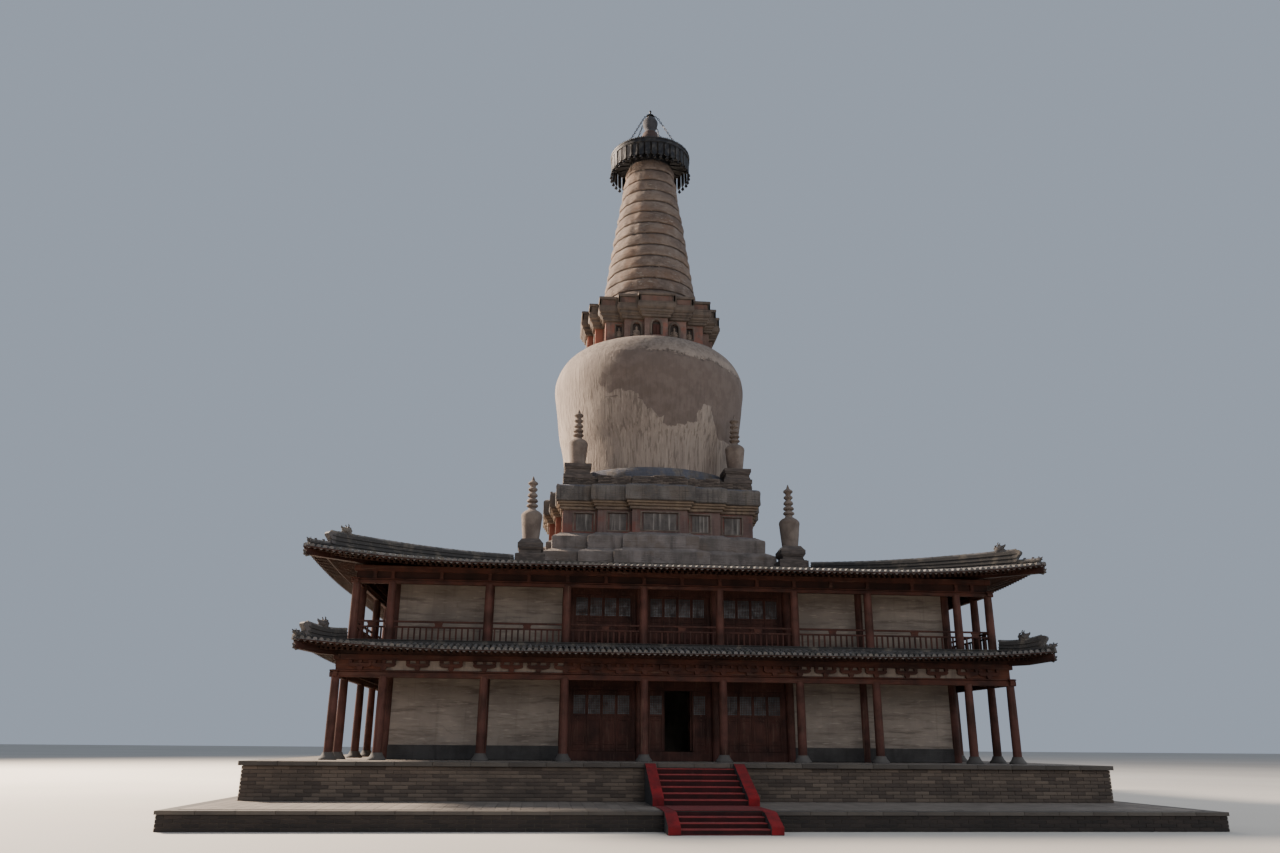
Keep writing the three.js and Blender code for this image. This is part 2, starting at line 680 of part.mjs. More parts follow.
function bar(from, to, size) {
  const span = new THREE.Vector3().subVectors(to, from);
  const geometry = new THREE.BoxGeometry(size, size, span.length() + size * 0.6);
  const up = new THREE.Vector3(0, 0, 1);
  const turn = new THREE.Quaternion().setFromUnitVectors(up, span.clone().normalize());
  geometry.applyQuaternion(turn);
  geometry.translate((from.x + to.x) / 2, (from.y + to.y) / 2, (from.z + to.z) / 2);
  return geometry;
}

// Outline of a small stupa from its tip down: radius and distance below the tip, for a height of 2560.
const MINI_OUTLINE = [
  [0, 0], [70, 170], [195, 290], [130, 400],
  [178, 530], [122, 640], [187, 780], [140, 870], [212, 970], [158, 1070], [222, 1160], [162, 1280],
  [200, 1385], [335, 1480], [405, 1570], [408, 1640], [370, 2100], [318, 2560], [318, 2600], [0, 2600],
];

// Small corner stupas: a block, a flared neck and slab, a tapering vase, four rings and an umbrella-like cap.
function miniStupa(name, spec, sx, sy) {
  const square = [[0, 0]];
  const { foot, block, top } = spec;
  const neck = [
    [spec.neckHalf, block], [spec.neckHalf, spec.slabFoot - 90], [spec.slabHalf, spec.slabFoot],
    [spec.slabHalf, spec.slabTop], [350, top],
  ];
  const scale = (spec.tip - top) / 2560;
  const vase = MINI_OUTLINE.map(([r, down]) => [r, spec.tip - down * scale]).reverse();
  const geometry = join([
    redentedStack(square, [[spec.blockHalf, foot], [spec.blockHalf, block]]),
    redentedStack(square, neck),
    lathe(vase, 8),
  ]);
  geometry.translate(sx * spec.at, sy * spec.at, 0);
  add(name, geometry, EARTH);
}

groundWorks();
heart();
for (const [index, side] of ["front", "right", "back", "left"].entries()) {
  const corners = index % 2 === 0;
  colonnade(`lower_colonnade_${side}`, LOWER, index, corners, false);
  colonnade(`upper_colonnade_${side}`, UPPER, index, corners, true);
}
lowerWalls();
upperWalls();
doorLeaves();
roofWithHips("lower_roof", LOWER_ROOF, 3);
roofWithHips("upper_roof", UPPER_ROOF, 5);
sumeru();
harmika();
spire();
canopy();
finial();
stays();
const corners = [["front_left", -1, -1], ["front_right", 1, -1], ["back_left", -1, 1], ["back_right", 1, 1]];
for (const [where, sx, sy] of corners) {
  miniStupa(`outer_stupa_${where}`, OUTER_MINI, sx, sy);
  miniStupa(`inner_stupa_${where}`, INNER_MINI, sx, sy);
}

export default group;
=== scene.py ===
"""Visual model of a bottle-shaped earthen stupa that stands inside a two-storey timber gallery."""
import math

import bmesh
import bpy
from mathutils import Matrix, Vector, noise


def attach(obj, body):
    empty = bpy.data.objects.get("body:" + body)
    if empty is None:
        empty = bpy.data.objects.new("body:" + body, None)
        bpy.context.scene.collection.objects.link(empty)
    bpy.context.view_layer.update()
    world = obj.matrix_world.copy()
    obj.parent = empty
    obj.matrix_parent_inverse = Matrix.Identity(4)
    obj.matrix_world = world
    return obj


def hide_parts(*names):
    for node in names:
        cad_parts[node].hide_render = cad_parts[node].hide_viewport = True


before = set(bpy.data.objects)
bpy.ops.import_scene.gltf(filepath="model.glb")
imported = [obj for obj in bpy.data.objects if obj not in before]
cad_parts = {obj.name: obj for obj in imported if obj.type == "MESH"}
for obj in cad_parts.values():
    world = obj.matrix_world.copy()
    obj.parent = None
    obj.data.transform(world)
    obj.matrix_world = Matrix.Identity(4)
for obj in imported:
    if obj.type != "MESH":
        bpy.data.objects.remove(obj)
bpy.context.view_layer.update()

# Sizes in metres, the same as the solids' own.
TERRACE_TOP, TERRACE_HALF, TERRACE_FRONT = 0.485, 13.6, 17.0
PLATFORM_TOP, PLATFORM_HALF, COPING_OUT, COPING_THICK = 1.545, 12.85, 0.09, 0.13
STAIR_HALF, STRING_WIDTH = 1.45, 0.30
POST_LINES = (1.27, 3.80, 6.34, 9.45)
WALL_LINE, WALL_HALF, CORE_HALF = 9.45, 0.10, 5.80
DECK_TOP, DECK_HALF, DECK_LEDGE = 4.95, 10.74, 4.83
LOWER = {"line": 10.90, "base": 1.765, "lintel": 3.98, "lintel_top": 4.20, "purlin": 4.50, "top": 4.68}
UPPER = {"line": 10.58, "base": 4.95, "lintel": 6.95, "lintel_top": 7.12, "purlin": 7.34, "top": 7.53}
WALL_TOP = 7.70
RAIL_TOP, RAIL_MID, RAIL_FOOT = 5.78, 5.605, 5.15
LOWER_ROOF = {"eave": 11.9, "head": DECK_HALF, "low": 4.84, "high": 5.06, "lift": 0.26, "push": 0.15}
UPPER_ROOF = {"eave": 11.9, "head": CORE_HALF, "low": 7.55, "high": 8.45, "lift": 0.38, "push": 0.15}
TILE_PITCH = 0.19
BAY_MIDDLE = 2.535
DOOR_HALF, DOOR_SILL, DOOR_HEAD, LEAF_GAP = 0.49, 1.86, 3.76, 0.008
BAY_HALF, SCREEN_SILL, LEAF_PITCH, LEAF_WIDTH = 1.13, 1.84, 0.485, 0.479
LOWER_LATTICE, UPPER_LATTICE = (3.01, 3.60), (6.20, 6.80)
BASE_PLAN = ((1.13, 4.42), (2.51, 4.16), (3.92, 3.92))
BASE_LEVELS = (8.70, 9.47, 10.16, 11.12, 11.46, 12.18, 12.48)
CROWN_PLAN = ((0.52, 2.95), (1.40, 2.64), (2.23, 2.23))
DOME_PROFILE = (
    (3.79, 13.06), (3.92, 14.40), (4.10, 15.30), (4.31, 16.90), (4.38, 17.50),
    (4.34, 18.00), (4.19, 18.43), (3.92, 18.82), (3.55, 19.14), (3.12, 19.35),
)
SPIRE_LOW, SPIRE_HIGH, SPIRE_R0, SPIRE_R1, RING_COUNT = 21.42, 29.75, 2.35, 1.12, 13
CANOPY_RADIUS, CANOPY_LOW, CANOPY_HIGH, PLATE_FOOT = 2.00, 30.17, 30.42, 29.46


def set_camera():
    """Camera at the photograph's place and angle."""
    yaw, pitch, roll = 0.0974, 0.3145, 0.008
    ahead = Vector((math.sin(yaw) * math.cos(pitch), math.cos(yaw) * math.cos(pitch), math.sin(pitch)))
    right = Vector((math.cos(yaw), -math.sin(yaw), 0.0))
    up = right.cross(ahead)
    right, up = math.cos(roll) * right + math.sin(roll) * up, math.cos(roll) * up - math.sin(roll) * right
    lens = bpy.data.cameras.new("camera")
    lens.sensor_width, lens.lens = 36.0, 27.444
    lens.clip_start, lens.clip_end = 0.1, 1000.0
    camera = bpy.data.objects.new("camera", lens)
    turn = Matrix((right, up, -ahead)).transposed().to_4x4()
    camera.matrix_world = Matrix.Translation((-4.5977, -42.8767, 2.0749)) @ turn
    bpy.context.scene.collection.objects.link(camera)
    bpy.context.scene.camera = camera


class Wire:
    """An output of a node. Arithmetic on it adds Math nodes to the same tree."""

    def __init__(self, graph, socket):
        self.graph, self.socket = graph, socket

    def math(self, operation, *values):
        return self.graph.node("ShaderNodeMath", {"operation": operation}, values)

    def __add__(self, other):
        return self.math("ADD", self, other)

    def __radd__(self, other):
        return self.math("ADD", other, self)

    def __sub__(self, other):
        return self.math("SUBTRACT", self, other)

    def __rsub__(self, other):
        return self.math("SUBTRACT", other, self)

    def __mul__(self, other):
        return self.math("MULTIPLY", self, other)

    def __rmul__(self, other):
        return self.math("MULTIPLY", other, self)

    def __truediv__(self, other):
        return self.math("DIVIDE", self, other)

    def __gt__(self, other):
        return self.math("GREATER_THAN", self, other)

    def __lt__(self, other):
        return self.math("LESS_THAN", self, other)


class Graph:
    """A node tree, with one method that adds any node."""

    def __init__(self, tree):
        self.tree = tree

    def feed(self, socket, value):
        if isinstance(value, Wire):
            self.tree.links.new(value.socket, socket)
        else:
            socket.default_value = value

    def node(self, kind, settings=None, values=(), out=0):
        made = self.tree.nodes.new(kind)
        for key, value in (settings or {}).items():
            setattr(made, key, value)
        for key, value in values.items() if isinstance(values, dict) else enumerate(values):
            self.feed(made.inputs[key], value)
        return Wire(self, made.outputs[out])


def tone(code):
    """A colour given as six hexadecimal digits, turned into linear light."""
    parts = [int(code[i:i + 2], 16) / 255 for i in (0, 2, 4)]
    return (*(p / 12.92 if p <= 0.04045 else ((p + 0.055) / 1.055) ** 2.4 for p in parts), 1.0)


class Finish(Graph):
    """A material whose colour, roughness and relief are worked out from the place on the object."""

    def __init__(self, name):
        self.material = bpy.data.materials.new(name)
        self.material.use_nodes = True
        super().__init__(self.material.node_tree)
        self.shader = self.material.node_tree.nodes["Principled BSDF"]
        self.place = self.node("ShaderNodeTexCoord", out="Object")

    def noise(self, scale, stretch=(1, 1, 1), detail=5.0, rough=0.55, shift=0.0):
        spread = {"Vector": self.place, "Location": (shift, shift, shift), "Scale": stretch}
        moved = self.node("ShaderNodeMapping", None, spread)
        values = {"Vector": moved, "Scale": scale, "Detail": detail, "Roughness": rough}
        return self.node("ShaderNodeTexNoise", None, values)

    def mask(self, value, low, high):
        values = {"Value": value, "From Min": low, "From Max": high}
        return self.node("ShaderNodeMapRange", {"interpolation_type": "SMOOTHSTEP"}, values)

    def blend(self, factor, first, second):
        """A mix of two colours; each is a wire or six hexadecimal digits."""
        first, second = (tone(colour) if isinstance(colour, str) else colour for colour in (first, second))
        return self.node("ShaderNodeMix", {"data_type": "RGBA"}, {0: factor, 6: first, 7: second}, out=2)

    def blotch(self, colour, other, scale, low, high, amount=1.0, **spread):
        return self.blend(self.mask(self.noise(scale, **spread), low, high) * amount, colour, other)

    def cracks(self, scale, width, bend=0.8, stretch=(1, 1, 1)):
        """Short, thin, wandering cracks that show only here and there."""
        bent = self.node("ShaderNodeTexNoise", None,
                         {"Vector": self.place, "Scale": scale * 1.7, "Detail": 4.0}, out=1)
        moved = self.node("ShaderNodeMix", {"data_type": "VECTOR"},
                          {0: bend * 0.25, 4: self.place, 5: bent}, out=1)
        spread = self.node("ShaderNodeMapping", None, {"Vector": moved, "Scale": stretch})
        settings = {"feature": "DISTANCE_TO_EDGE"}
        edge = self.node("ShaderNodeTexVoronoi", settings, {"Vector": spread, "Scale": scale})
        return (1 - self.mask(edge, 0.0, width)) * self.mask(self.noise(scale * 0.8, shift=11.0), 0.54, 0.62)

    def axis(self, index):
        return self.node("ShaderNodeSeparateXYZ", None, {0: self.place}, out=index)

    def tint(self):
        """The random number that each repeated copy carries."""
        return self.node("ShaderNodeAttribute", {"attribute_name": "tint"}, out="Fac")

    def surface(self, colour, roughness, relief=None, depth=0.01, gloss=0.5):
        self.feed(self.shader.inputs["Base Color"], colour)
        self.feed(self.shader.inputs["Specular IOR Level"], gloss)
        self.feed(self.shader.inputs["Roughness"], roughness)
        if relief is not None:
            values = {"Strength": 1.0, "Distance": depth, "Height": relief}
            self.feed(self.shader.inputs["Normal"], self.node("ShaderNodeBump", None, values))
        return self.material


def paint_finish(name, grain, colour="74331f", dark="46211a", bare="67554a", worn=0.5):
    """Old red-brown paint on timber, dull and flaking along the grain."""
    f = Finish(name)
    mixed = f.blotch(dark, colour, 1.6, 0.3, 0.65, detail=6.0)
    mixed = f.blotch(mixed, bare, 14.0, 0.5, 0.72, 0.25, stretch=grain)
    streak = f.noise(26.0, stretch=grain, detail=6.0)
    flake = f.mask(f.noise(6.0, stretch=grain, detail=8.0, rough=0.7, shift=4.0), 0.60, 0.66) * worn
    mixed = f.blend(flake, mixed, bare)
    mixed = f.blotch(mixed, "241613", 3.0, 0.52, 0.8, 0.5, shift=9.0)
    return f.surface(mixed, 0.65 + flake * 0.3, streak * 0.4 - flake * 0.6, 0.006, 0.15)


def wall_finish():
    """Grey lime plaster on the gallery walls: trowel marks, water stains, a few hair cracks and pits."""
    f = Finish("gallery_wall_plaster")
    colour = f.blotch("6f665e", "857b71", 0.9, 0.3, 0.7, detail=8.0)
    colour = f.blotch(colour, "574e47", 1.8, 0.48, 0.66, 0.8, stretch=(0.3, 0.3, 3.0), detail=9.0, rough=0.68)
    drips = f.mask(f.noise(3.2, stretch=(2.4, 2.4, 0.12), detail=5.0), 0.56, 0.72)
    colour = f.blend(drips * 0.25, colour, "524a43")
    colour = f.blotch(colour, "9a9085", 5.0, 0.56, 0.68, 0.5, stretch=(0.4, 0.4, 2.4), detail=8.0, shift=3.0)
    cracks = f.cracks(0.8, 0.006, bend=2.0, stretch=(0.4, 0.4, 1.6))
    pits = f.mask(f.noise(22.0, detail=2.0), 0.72, 0.78)
    colour = f.blend(cracks * 0.35 + pits * 0.35, colour, "4b433c")
    relief = f.noise(5.0, stretch=(0.4, 0.4, 2.4), detail=9.0, rough=0.65) - cracks * 0.3 - pits * 0.4
    return f.surface(colour, 0.92, relief, 0.02)


def masonry_finish(name, light, dark, stain, scale=1.0, relief_depth=0.015, washed=None, runs=None,
                   zones=(), patchy=False):
    """Plastered or worn masonry with blotches, courses and run-off; washed and runs add more colours.

    Each zone is (axis, from, to, colour, amount): a colour that comes in along one axis, in ragged patches.
    """
    f = Finish(name)
    colour = f.blotch(dark, light, 0.8 * scale, 0.3, 0.7, detail=9.0, rough=0.62)
    colour = f.blotch(colour, stain, 1.3 * scale, 0.5, 0.72, 0.6, stretch=(1.6, 1.6, 0.25), detail=7.0)
    colour = f.blotch(colour, light, 9.0 * scale, 0.58, 0.72, 0.5, stretch=(0.5, 0.5, 2.2), shift=2.0)
    if washed:
        colour = f.blotch(colour, washed, 0.7 * scale, 0.50, 0.64, 0.7, shift=6.0)
    if runs:
        colour = f.blotch(colour, runs, 3.6, 0.50, 0.68, 0.6, stretch=(2.6, 2.6, 0.12), detail=6.0, shift=1.0)
    for axis, start, end, code, amount in zones:
        reach = f.mask(f.axis(axis) + f.noise(2.2, detail=6.0, shift=7.0) * 0.3 - 0.15, start, end)
        if patchy:
            reach = reach * f.mask(f.noise(1.2, detail=6.0, rough=0.65, shift=17.0), 0.42, 0.56)
        colour = f.blend(reach * amount, colour, code)
    cracks = f.cracks(1.4 * scale, 0.008)
    colour = f.blend(cracks * 0.4, colour, stain)
    courses = f.noise(6.0 * scale, stretch=(0.12, 0.12, 2.4), detail=3.0)
    grain = f.noise(14.0 * scale, detail=9.0, rough=0.7)
    return f.surface(colour, 0.94, grain + courses * 0.8 - cracks * 0.3, relief_depth)


def dome_finish():
    """Lime plaster over earth: tall runs, a browner area where the coat came off, its broken edge, pits."""
    f = Finish("dome_lime_plaster")
    x, z = f.axis(0), f.axis(2)
    colour = f.blotch("72665e", "867a70", 0.45, 0.32, 0.68, detail=8.0, rough=0.6)
    runs = f.mask(f.noise(1.7, stretch=(2.2, 2.2, 0.08), detail=8.0, rough=0.62), 0.48, 0.60)
    colour = f.blend(runs * 0.4, colour, "91857a")
    low = 1 - f.mask(z, 15.8, 18.2) * 0.75
    fine = f.mask(f.noise(4.4, stretch=(2.8, 2.8, 0.05), detail=6.0, rough=0.6, shift=5.0), 0.50, 0.60)
    colour = f.blend(fine * low * 0.55, colour, "50463f")
    pale = f.mask(f.noise(5.4, stretch=(2.8, 2.8, 0.045), detail=5.0, shift=9.0), 0.56, 0.64)
    colour = f.blend(pale * low * 0.5, colour, "9a8d81")
    cell = f.node("ShaderNodeTexVoronoi", None, {"Vector": f.place, "Scale": 1.7}, out=1)
    cell = f.node("ShaderNodeSeparateColor", None, {0: cell})
    ragged = f.noise(1.5, detail=8.0, rough=0.68) * 0.8 + cell * 0.45 - 0.62
    foot = 16.35 - f.mask(x, -1.3, 0.4) * 1.25 + f.mask(x, 1.5, 2.0) * 0.85 - f.mask(x, 2.3, 2.8) * 1.1
    head = 18.2 - x * 0.08
    above = z - foot + ragged
    below = head - z + ragged * 0.35
    thin = f.mask(above, -0.03, 0.03) * f.mask(below, -0.02, 0.05) * f.mask(x + ragged * 1.5, -2.6, -2.0)
    colour = f.blend(thin * 0.85, colour, f.blotch("61554f", "574b45", 2.2, 0.4, 0.6, detail=8.0))
    shoulder = f.mask(z + ragged * 0.2, 18.2, 18.5)
    colour = f.blend(shoulder * 0.6, colour,
                     f.blotch("7a6f66", "554b45", 6.0, 0.42, 0.6, detail=9.0, rough=0.7))
    rim = f.mask(below, -0.16, -0.02) * (1 - f.mask(below, 0.03, 0.14)) * f.mask(x, -1.6, -0.8)
    pits = f.mask(f.noise(7.0, detail=6.0, rough=0.75), 0.53, 0.58) * rim
    specks = (f.mask(f.noise(9.0, detail=5.0, rough=0.7), 0.68, 0.71)
              * f.mask(f.noise(0.6, shift=14.0), 0.5, 0.6))
    colour = f.blend(pits * 0.65 + specks * 0.5 + f.cracks(0.8, 0.004) * 0.3, colour, "3a312c")
    relief = f.noise(3.0, detail=9.0, rough=0.6) + fine * 0.2 - thin * 0.3 - pits * 0.6 - specks * 0.4
    return f.surface(colour, 0.93, relief, 0.03)


def spire_finish():
    """Earth plaster on the spire's rings: brown above, painted shade in the grooves, a painted highlight on
    the lips, chipped pale spots.
    """
    f = Finish("spire_earth_plaster")
    pitch = (SPIRE_HIGH - SPIRE_LOW) / RING_COUNT
    colour = f.blotch("564942", "73655b", 1.0, 0.3, 0.7, detail=9.0, rough=0.62)
    colour = f.blotch(colour, "6c5647", 0.7, 0.48, 0.64, 0.7, detail=6.0, shift=6.0)
    colour = f.blotch(colour, "7f736a", 3.2, 0.52, 0.70, 0.5, stretch=(0.7, 0.7, 0.5), detail=7.0, shift=1.0)
    uneven = f.noise(1.6, detail=6.0, rough=0.65, shift=12.0) * 0.3 - 0.15
    rows = (f.axis(2) - SPIRE_LOW) / pitch
    share = rows.math("FRACT", rows)
    # Painted shade: the groove under each ring is darkened, where the lip above throws shade.
    groove_shade = f.mask(share + uneven, 0.80, 0.97) + (1 - f.mask(share, 0.0, 0.05))
    colour = f.blend(groove_shade * 0.75, colour, "362d29")
    # Painted highlight: the projecting lip of each ring is lightened in patches.
    lip = (f.mask(share, 0.03, 0.08) * (1 - f.mask(share + uneven, 0.08, 0.26))
           * f.mask(f.noise(2.4, detail=7.0, shift=3.0), 0.42, 0.6))
    colour = f.blend(lip * 0.4, colour, "897d73")
    worn = f.noise(7.0, stretch=(0.45, 0.45, 1.7), detail=9.0, rough=0.75, shift=16.0)
    colour = f.blend(f.mask(worn, 0.54, 0.64) * 0.55, colour, "463b35")
    colour = f.blend((1 - f.mask(worn, 0.36, 0.45)) * 0.45, colour, "85796f")
    chips = (f.mask(f.noise(5.0, stretch=(0.6, 0.6, 2.2), detail=7.0, rough=0.7), 0.57, 0.61)
             * f.mask(f.noise(0.8, shift=21.0), 0.50, 0.60))
    colour = f.blend(chips * 0.8, colour, "9c9287")
    relief = worn * 1.4 + f.noise(2.0, detail=6.0) * 1.2 - chips * 0.4
    return f.surface(colour, 0.94, relief, 0.05)


def small_stupa_finish():
    """Plaster of the small stupas, darker on their square feet and slabs."""
    f = Finish("small_stupa_plaster")
    z = f.axis(2)
    colour = f.blotch("584d46", "766a61", 1.9, 0.3, 0.7, detail=9.0, rough=0.62)
    colour = f.blotch(colour, "594c44", 1.7, 0.50, 0.64, 0.7, shift=6.0)
    colour = f.blotch(colour, "7a6f66", 12.0, 0.58, 0.72, 0.4, stretch=(1.2, 1.2, 0.5), shift=2.0)
    feet = 1 - f.mask(z, 9.55, 9.62) + f.mask(z, 12.30, 12.40) * (1 - f.mask(z, 13.13, 13.18))
    dark = f.blotch("3d3734", "574e49", 6.0, 0.4, 0.65, detail=7.0, stretch=(0.5, 0.5, 2.0))
    colour = f.blend(feet * 0.85, colour, dark)
    return f.surface(colour, 0.94,
                     f.noise(30.0, detail=8.0, rough=0.7) + f.noise(8.0, detail=4.0) * 0.6, 0.012)


def brick_finish(name, light, dark, stain):
    """Single grey-brown bricks, each a little different."""
    f = Finish(name)
    colour = f.blend(f.tint(), dark, light)
    colour = f.blotch(colour, stain, 0.6, 0.45, 0.7, 0.55, detail=7.0)
    colour = f.blotch(colour, light, 13.0, 0.55, 0.75, 0.4)
    return f.surface(colour, 0.93, f.noise(30.0, detail=6.0), 0.006)


def plain_stone_finish(name, light, dark):
    """Dressed stone blocks, each a little different, with dark specks."""
    f = Finish(name)
    colour = f.blend(f.tint() * 0.6 + f.mask(f.noise(1.3, detail=8.0), 0.3, 0.7) * 0.4, dark, light)
    colour = f.blotch(colour, dark, 7.0, 0.55, 0.7, 0.5, detail=8.0)
    speck = f.noise(60.0, detail=3.0)
    colour = f.blend(f.mask(speck, 0.6, 0.7) * 0.4, colour, "3d3935")
    return f.surface(colour, 0.85, speck * 0.4 + f.noise(9.0, detail=6.0), 0.006)


def tile_finish(name, light="6b6867", dark="3f3e3c"):
    """Unglazed grey roof tiles with lichen and dust."""
    f = Finish(name)
    colour = f.blend(f.tint(), dark, light)
    colour = f.blotch(colour, "6f675c", 2.4, 0.52, 0.68, 0.55, detail=8.0)
    colour = f.blotch(colour, "2a2826", 1.1, 0.55, 0.75, 0.5, shift=5.0)
    colour = f.blotch(colour, "8a8577", 26.0, 0.62, 0.70, 0.5, shift=8.0)
    return f.surface(colour, 0.82, f.noise(34.0, detail=6.0), 0.004)


def carpet_finish(name, foot=0.0, rise=0.0):
    """Red needle-felt carpet; on a flight the risers are darkened as painted shade and the treads and noses
    lightened as a painted highlight.
    """
    f = Finish(name)
    colour = f.blotch("5f0a10", "7c0e15", 2.0, 0.35, 0.65, detail=6.0)
    if rise:
        step = (f.axis(2) - foot) / rise
        share = step.math("FRACT", step)
        # Painted highlight on the treads and noses of the flight.
        nose = f.mask(share, 0.90, 0.97) + (1 - f.mask(share, 0.11, 0.17))
        # Painted shade: the nearly black red of the risers.
        dull = f.blotch("220607", "340a0c", 3.0, 0.35, 0.65, detail=7.0)
        colour = f.blend(nose, dull, f.blend(0.35, colour, "8a4844"))
    colour = f.blotch(colour, "3c070a", 5.0, 0.5, 0.72, 0.5, detail=7.0, shift=3.0)
    colour = f.blotch(colour, "8c5550", 3.0, 0.66, 0.78, 0.25, shift=7.0)
    pile = f.noise(220.0, detail=2.0)
    return f.surface(colour, 0.98, pile + f.noise(6.0, detail=4.0) * 0.6, 0.006)


def metal_finish(name, base, worn, metallic, roughness):
    """Old metal with dull worn patches."""
    f = Finish(name)
    patches = f.mask(f.noise(4.0, detail=8.0, rough=0.65), 0.45, 0.68)
    colour = f.blend(patches, base, worn)
    colour = f.blotch(colour, "20201f", 11.0, 0.5, 0.7, 0.5, shift=4.0)
    f.feed(f.shader.inputs["Metallic"], metallic - patches * metallic * 0.5)
    return f.surface(colour, roughness + patches * 0.25, f.noise(25.0, detail=6.0), 0.004)


def pane_finish():
    """Dusty panes behind the lattice."""
    f = Finish("dusty_lattice_pane")
    colour = f.blotch("26282a", "3c4043", 1.8, 0.35, 0.7, detail=6.0)
    return f.surface(colour, 0.35 + f.mask(f.noise(5.0, detail=6.0), 0.4, 0.7) * 0.4, f.noise(3.0), 0.003)


LEVEL_GRAIN, UPRIGHT_GRAIN = (0.12, 0.12, 1.4), (1.4, 1.4, 0.08)
RED_LEVEL = paint_finish("red_paint_level", LEVEL_GRAIN, "4f2f26", "33211d")
RED_UPRIGHT = paint_finish("red_paint_upright", UPRIGHT_GRAIN, "553731", "37241f", worn=0.6)
RED_DARK = paint_finish("dark_red_joinery", UPRIGHT_GRAIN, "452a24", "2d1b18", worn=0.3)
EAVE_WOOD = paint_finish("weathered_eave_timber", LEVEL_GRAIN, "3a251d", "271a15", "3d3029")
FRIEZE_BOARD = paint_finish("red_brown_frieze_board", LEVEL_GRAIN, "5a3528", "3c241d", "6a5a4e")
DARK_BOARD = paint_finish("dark_timber_board", LEVEL_GRAIN, "38211b", "241714", "40332c")
WALL_PLASTER = wall_finish()
DADO = masonry_finish("dark_wall_foot", "403e3d", "2f2d2c", "232221", 2.0)
FRIEZE_PLASTER = masonry_finish("pale_frieze_plaster", "85796e", "6a5f56", "554b44", 2.4, 0.008)
PLATFORM_BRICK = brick_finish("platform_brick", "665a4f", "453c36", "342e2a")
TERRACE_BRICK = brick_finish("terrace_brick", "342d29", "262220", "1e1b19")
WORN_BRICK = brick_finish("worn_parapet_brick", "6b6058", "443d39", "332f2d")
MORTAR = masonry_finish("lime_mortar", "6d645b", "564e47", "433d38", 3.0)
WORN_MORTAR = masonry_finish("worn_parapet_core", "5c534c", "433d39", "322e2c", 3.0, 0.03)
COPING_STONE = plain_stone_finish("coping_stone", "565049", "3d3834")
BASE_STONE = plain_stone_finish("post_base_stone", "57534f", "3d3a38")
PAVING = plain_stone_finish("square_paving", "776e65", "574f48")
DOME_PLASTER = dome_finish()
SPIRE_EARTH = spire_finish()
VASE_PLASTER = masonry_finish("finial_grey_plaster", "434347", "333337", "262629", 3.0, 0.015,
                              zones=((2, 32.02, 31.96, "45342f", 0.8),))
COURSE_EARTH = masonry_finish(
    "course_grey_plaster", "857b76", "615a55", "433d3a", 1.6, 0.06, washed="6c6057",
    zones=((2, 10.04, 10.12, "565a64", 0.4),), patchy=True)
RIM_EARTH = masonry_finish("panel_rim_plaster", "75695f", "554b44", "403834", 3.0, 0.01)
BLUE_PLASTER = masonry_finish(
    "grey_ring_plaster", "716a64", "524d4a", "3c3836", 1.6, 0.06, washed="655b52", runs="443e3a",
    zones=((2, 12.04, 12.14, "464e60", 0.6),), patchy=True)
OCHRE = masonry_finish(
    "brown_cornice_plaster", "897866", "60544a", "413934", 2.2, 0.02, washed="6a5b50",
    zones=((2, 11.22, 11.26, "776450", 0.4),))
# Faded red wash over masonry; the x zone paints the left faces a brighter orange-red as painted sunlight.
RED_WASH_AND_SUNLIT_LEFT = masonry_finish(
    "faded_red_wash", "6b5852", "523f3b", "433a39", 1.6, 0.012, washed="6f433a", runs="6a5d58",
    zones=((0, -3.85, -3.98, "8f4f3c", 0.7),))
PANEL_GREY = masonry_finish("grey_panel_plaster", "635c58", "474340", "343231", 2.4, 0.012, runs="9a948d")
CROWN_EARTH = masonry_finish("crown_brick_plaster", "675b51", "4a413b", "37312e", 1.6, 0.02)
FRIEZE_RED = masonry_finish("crown_frieze_red", "6a544a", "503e38", "3f332f", 2.0, 0.012, washed="6c493e")
# Red wash on the crown; the x zone paints the left faces a brighter orange-red as painted sunlight.
CROWN_RED_AND_SUNLIT_LEFT = masonry_finish(
    "crown_red_wash", "77645b", "594640", "443836", 2.0, 0.012, washed="7c4d40",
    zones=((0, -2.15, -2.30, "8f5340", 0.7),))
MINI_EARTH = small_stupa_finish()
FIGURE_EARTH = masonry_finish("niche_figure_clay", "8b7b6e", "65584e", "4b413b", 3.0, 0.006)
# Painted shade: the near-black backs of the niches stand for the shade inside them.
NICHE_BACK_SHADE = masonry_finish("niche_back", "3f3632", "2d2927", "232020", 2.0, 0.006)
ROOF_TILE = tile_finish("grey_roof_tile")
RIDGE_TILE = tile_finish("grey_ridge_tile", "504c4b", "363433")
CARPET = carpet_finish("red_string_carpet")
STEP_CARPETS = {
    "upper": carpet_finish("red_upper_step_carpet", TERRACE_TOP, (PLATFORM_TOP - TERRACE_TOP) / 7),
    "lower": carpet_finish("red_lower_step_carpet", 0.0, TERRACE_TOP / 4),
}
BRONZE = metal_finish("dark_canopy_bronze", "2b2b2e", "454341", 0.7, 0.5)
IRON = metal_finish("dark_stay_iron", "2a2a2b", "443a34", 0.8, 0.5)
PANE = pane_finish()

SIDES = range(4)
AS_DRAWN = ((0, 0, 0), (1, 1, 1))  # turn and size of a copy that stays as its model is
SIDE_NAMES = ("front", "right", "back", "left")


def spot(side, along, out, z):
    """A point on one side of the square plan: along the side, outwards from the axis, and up."""
    return ((along, -out, z), (out, along, z), (-along, out, z), (-out, -along, z))[side]


def facing(side):
    """The turn of a copy that looks outwards from one side."""
    return (0.0, 0.0, side * math.pi / 2)


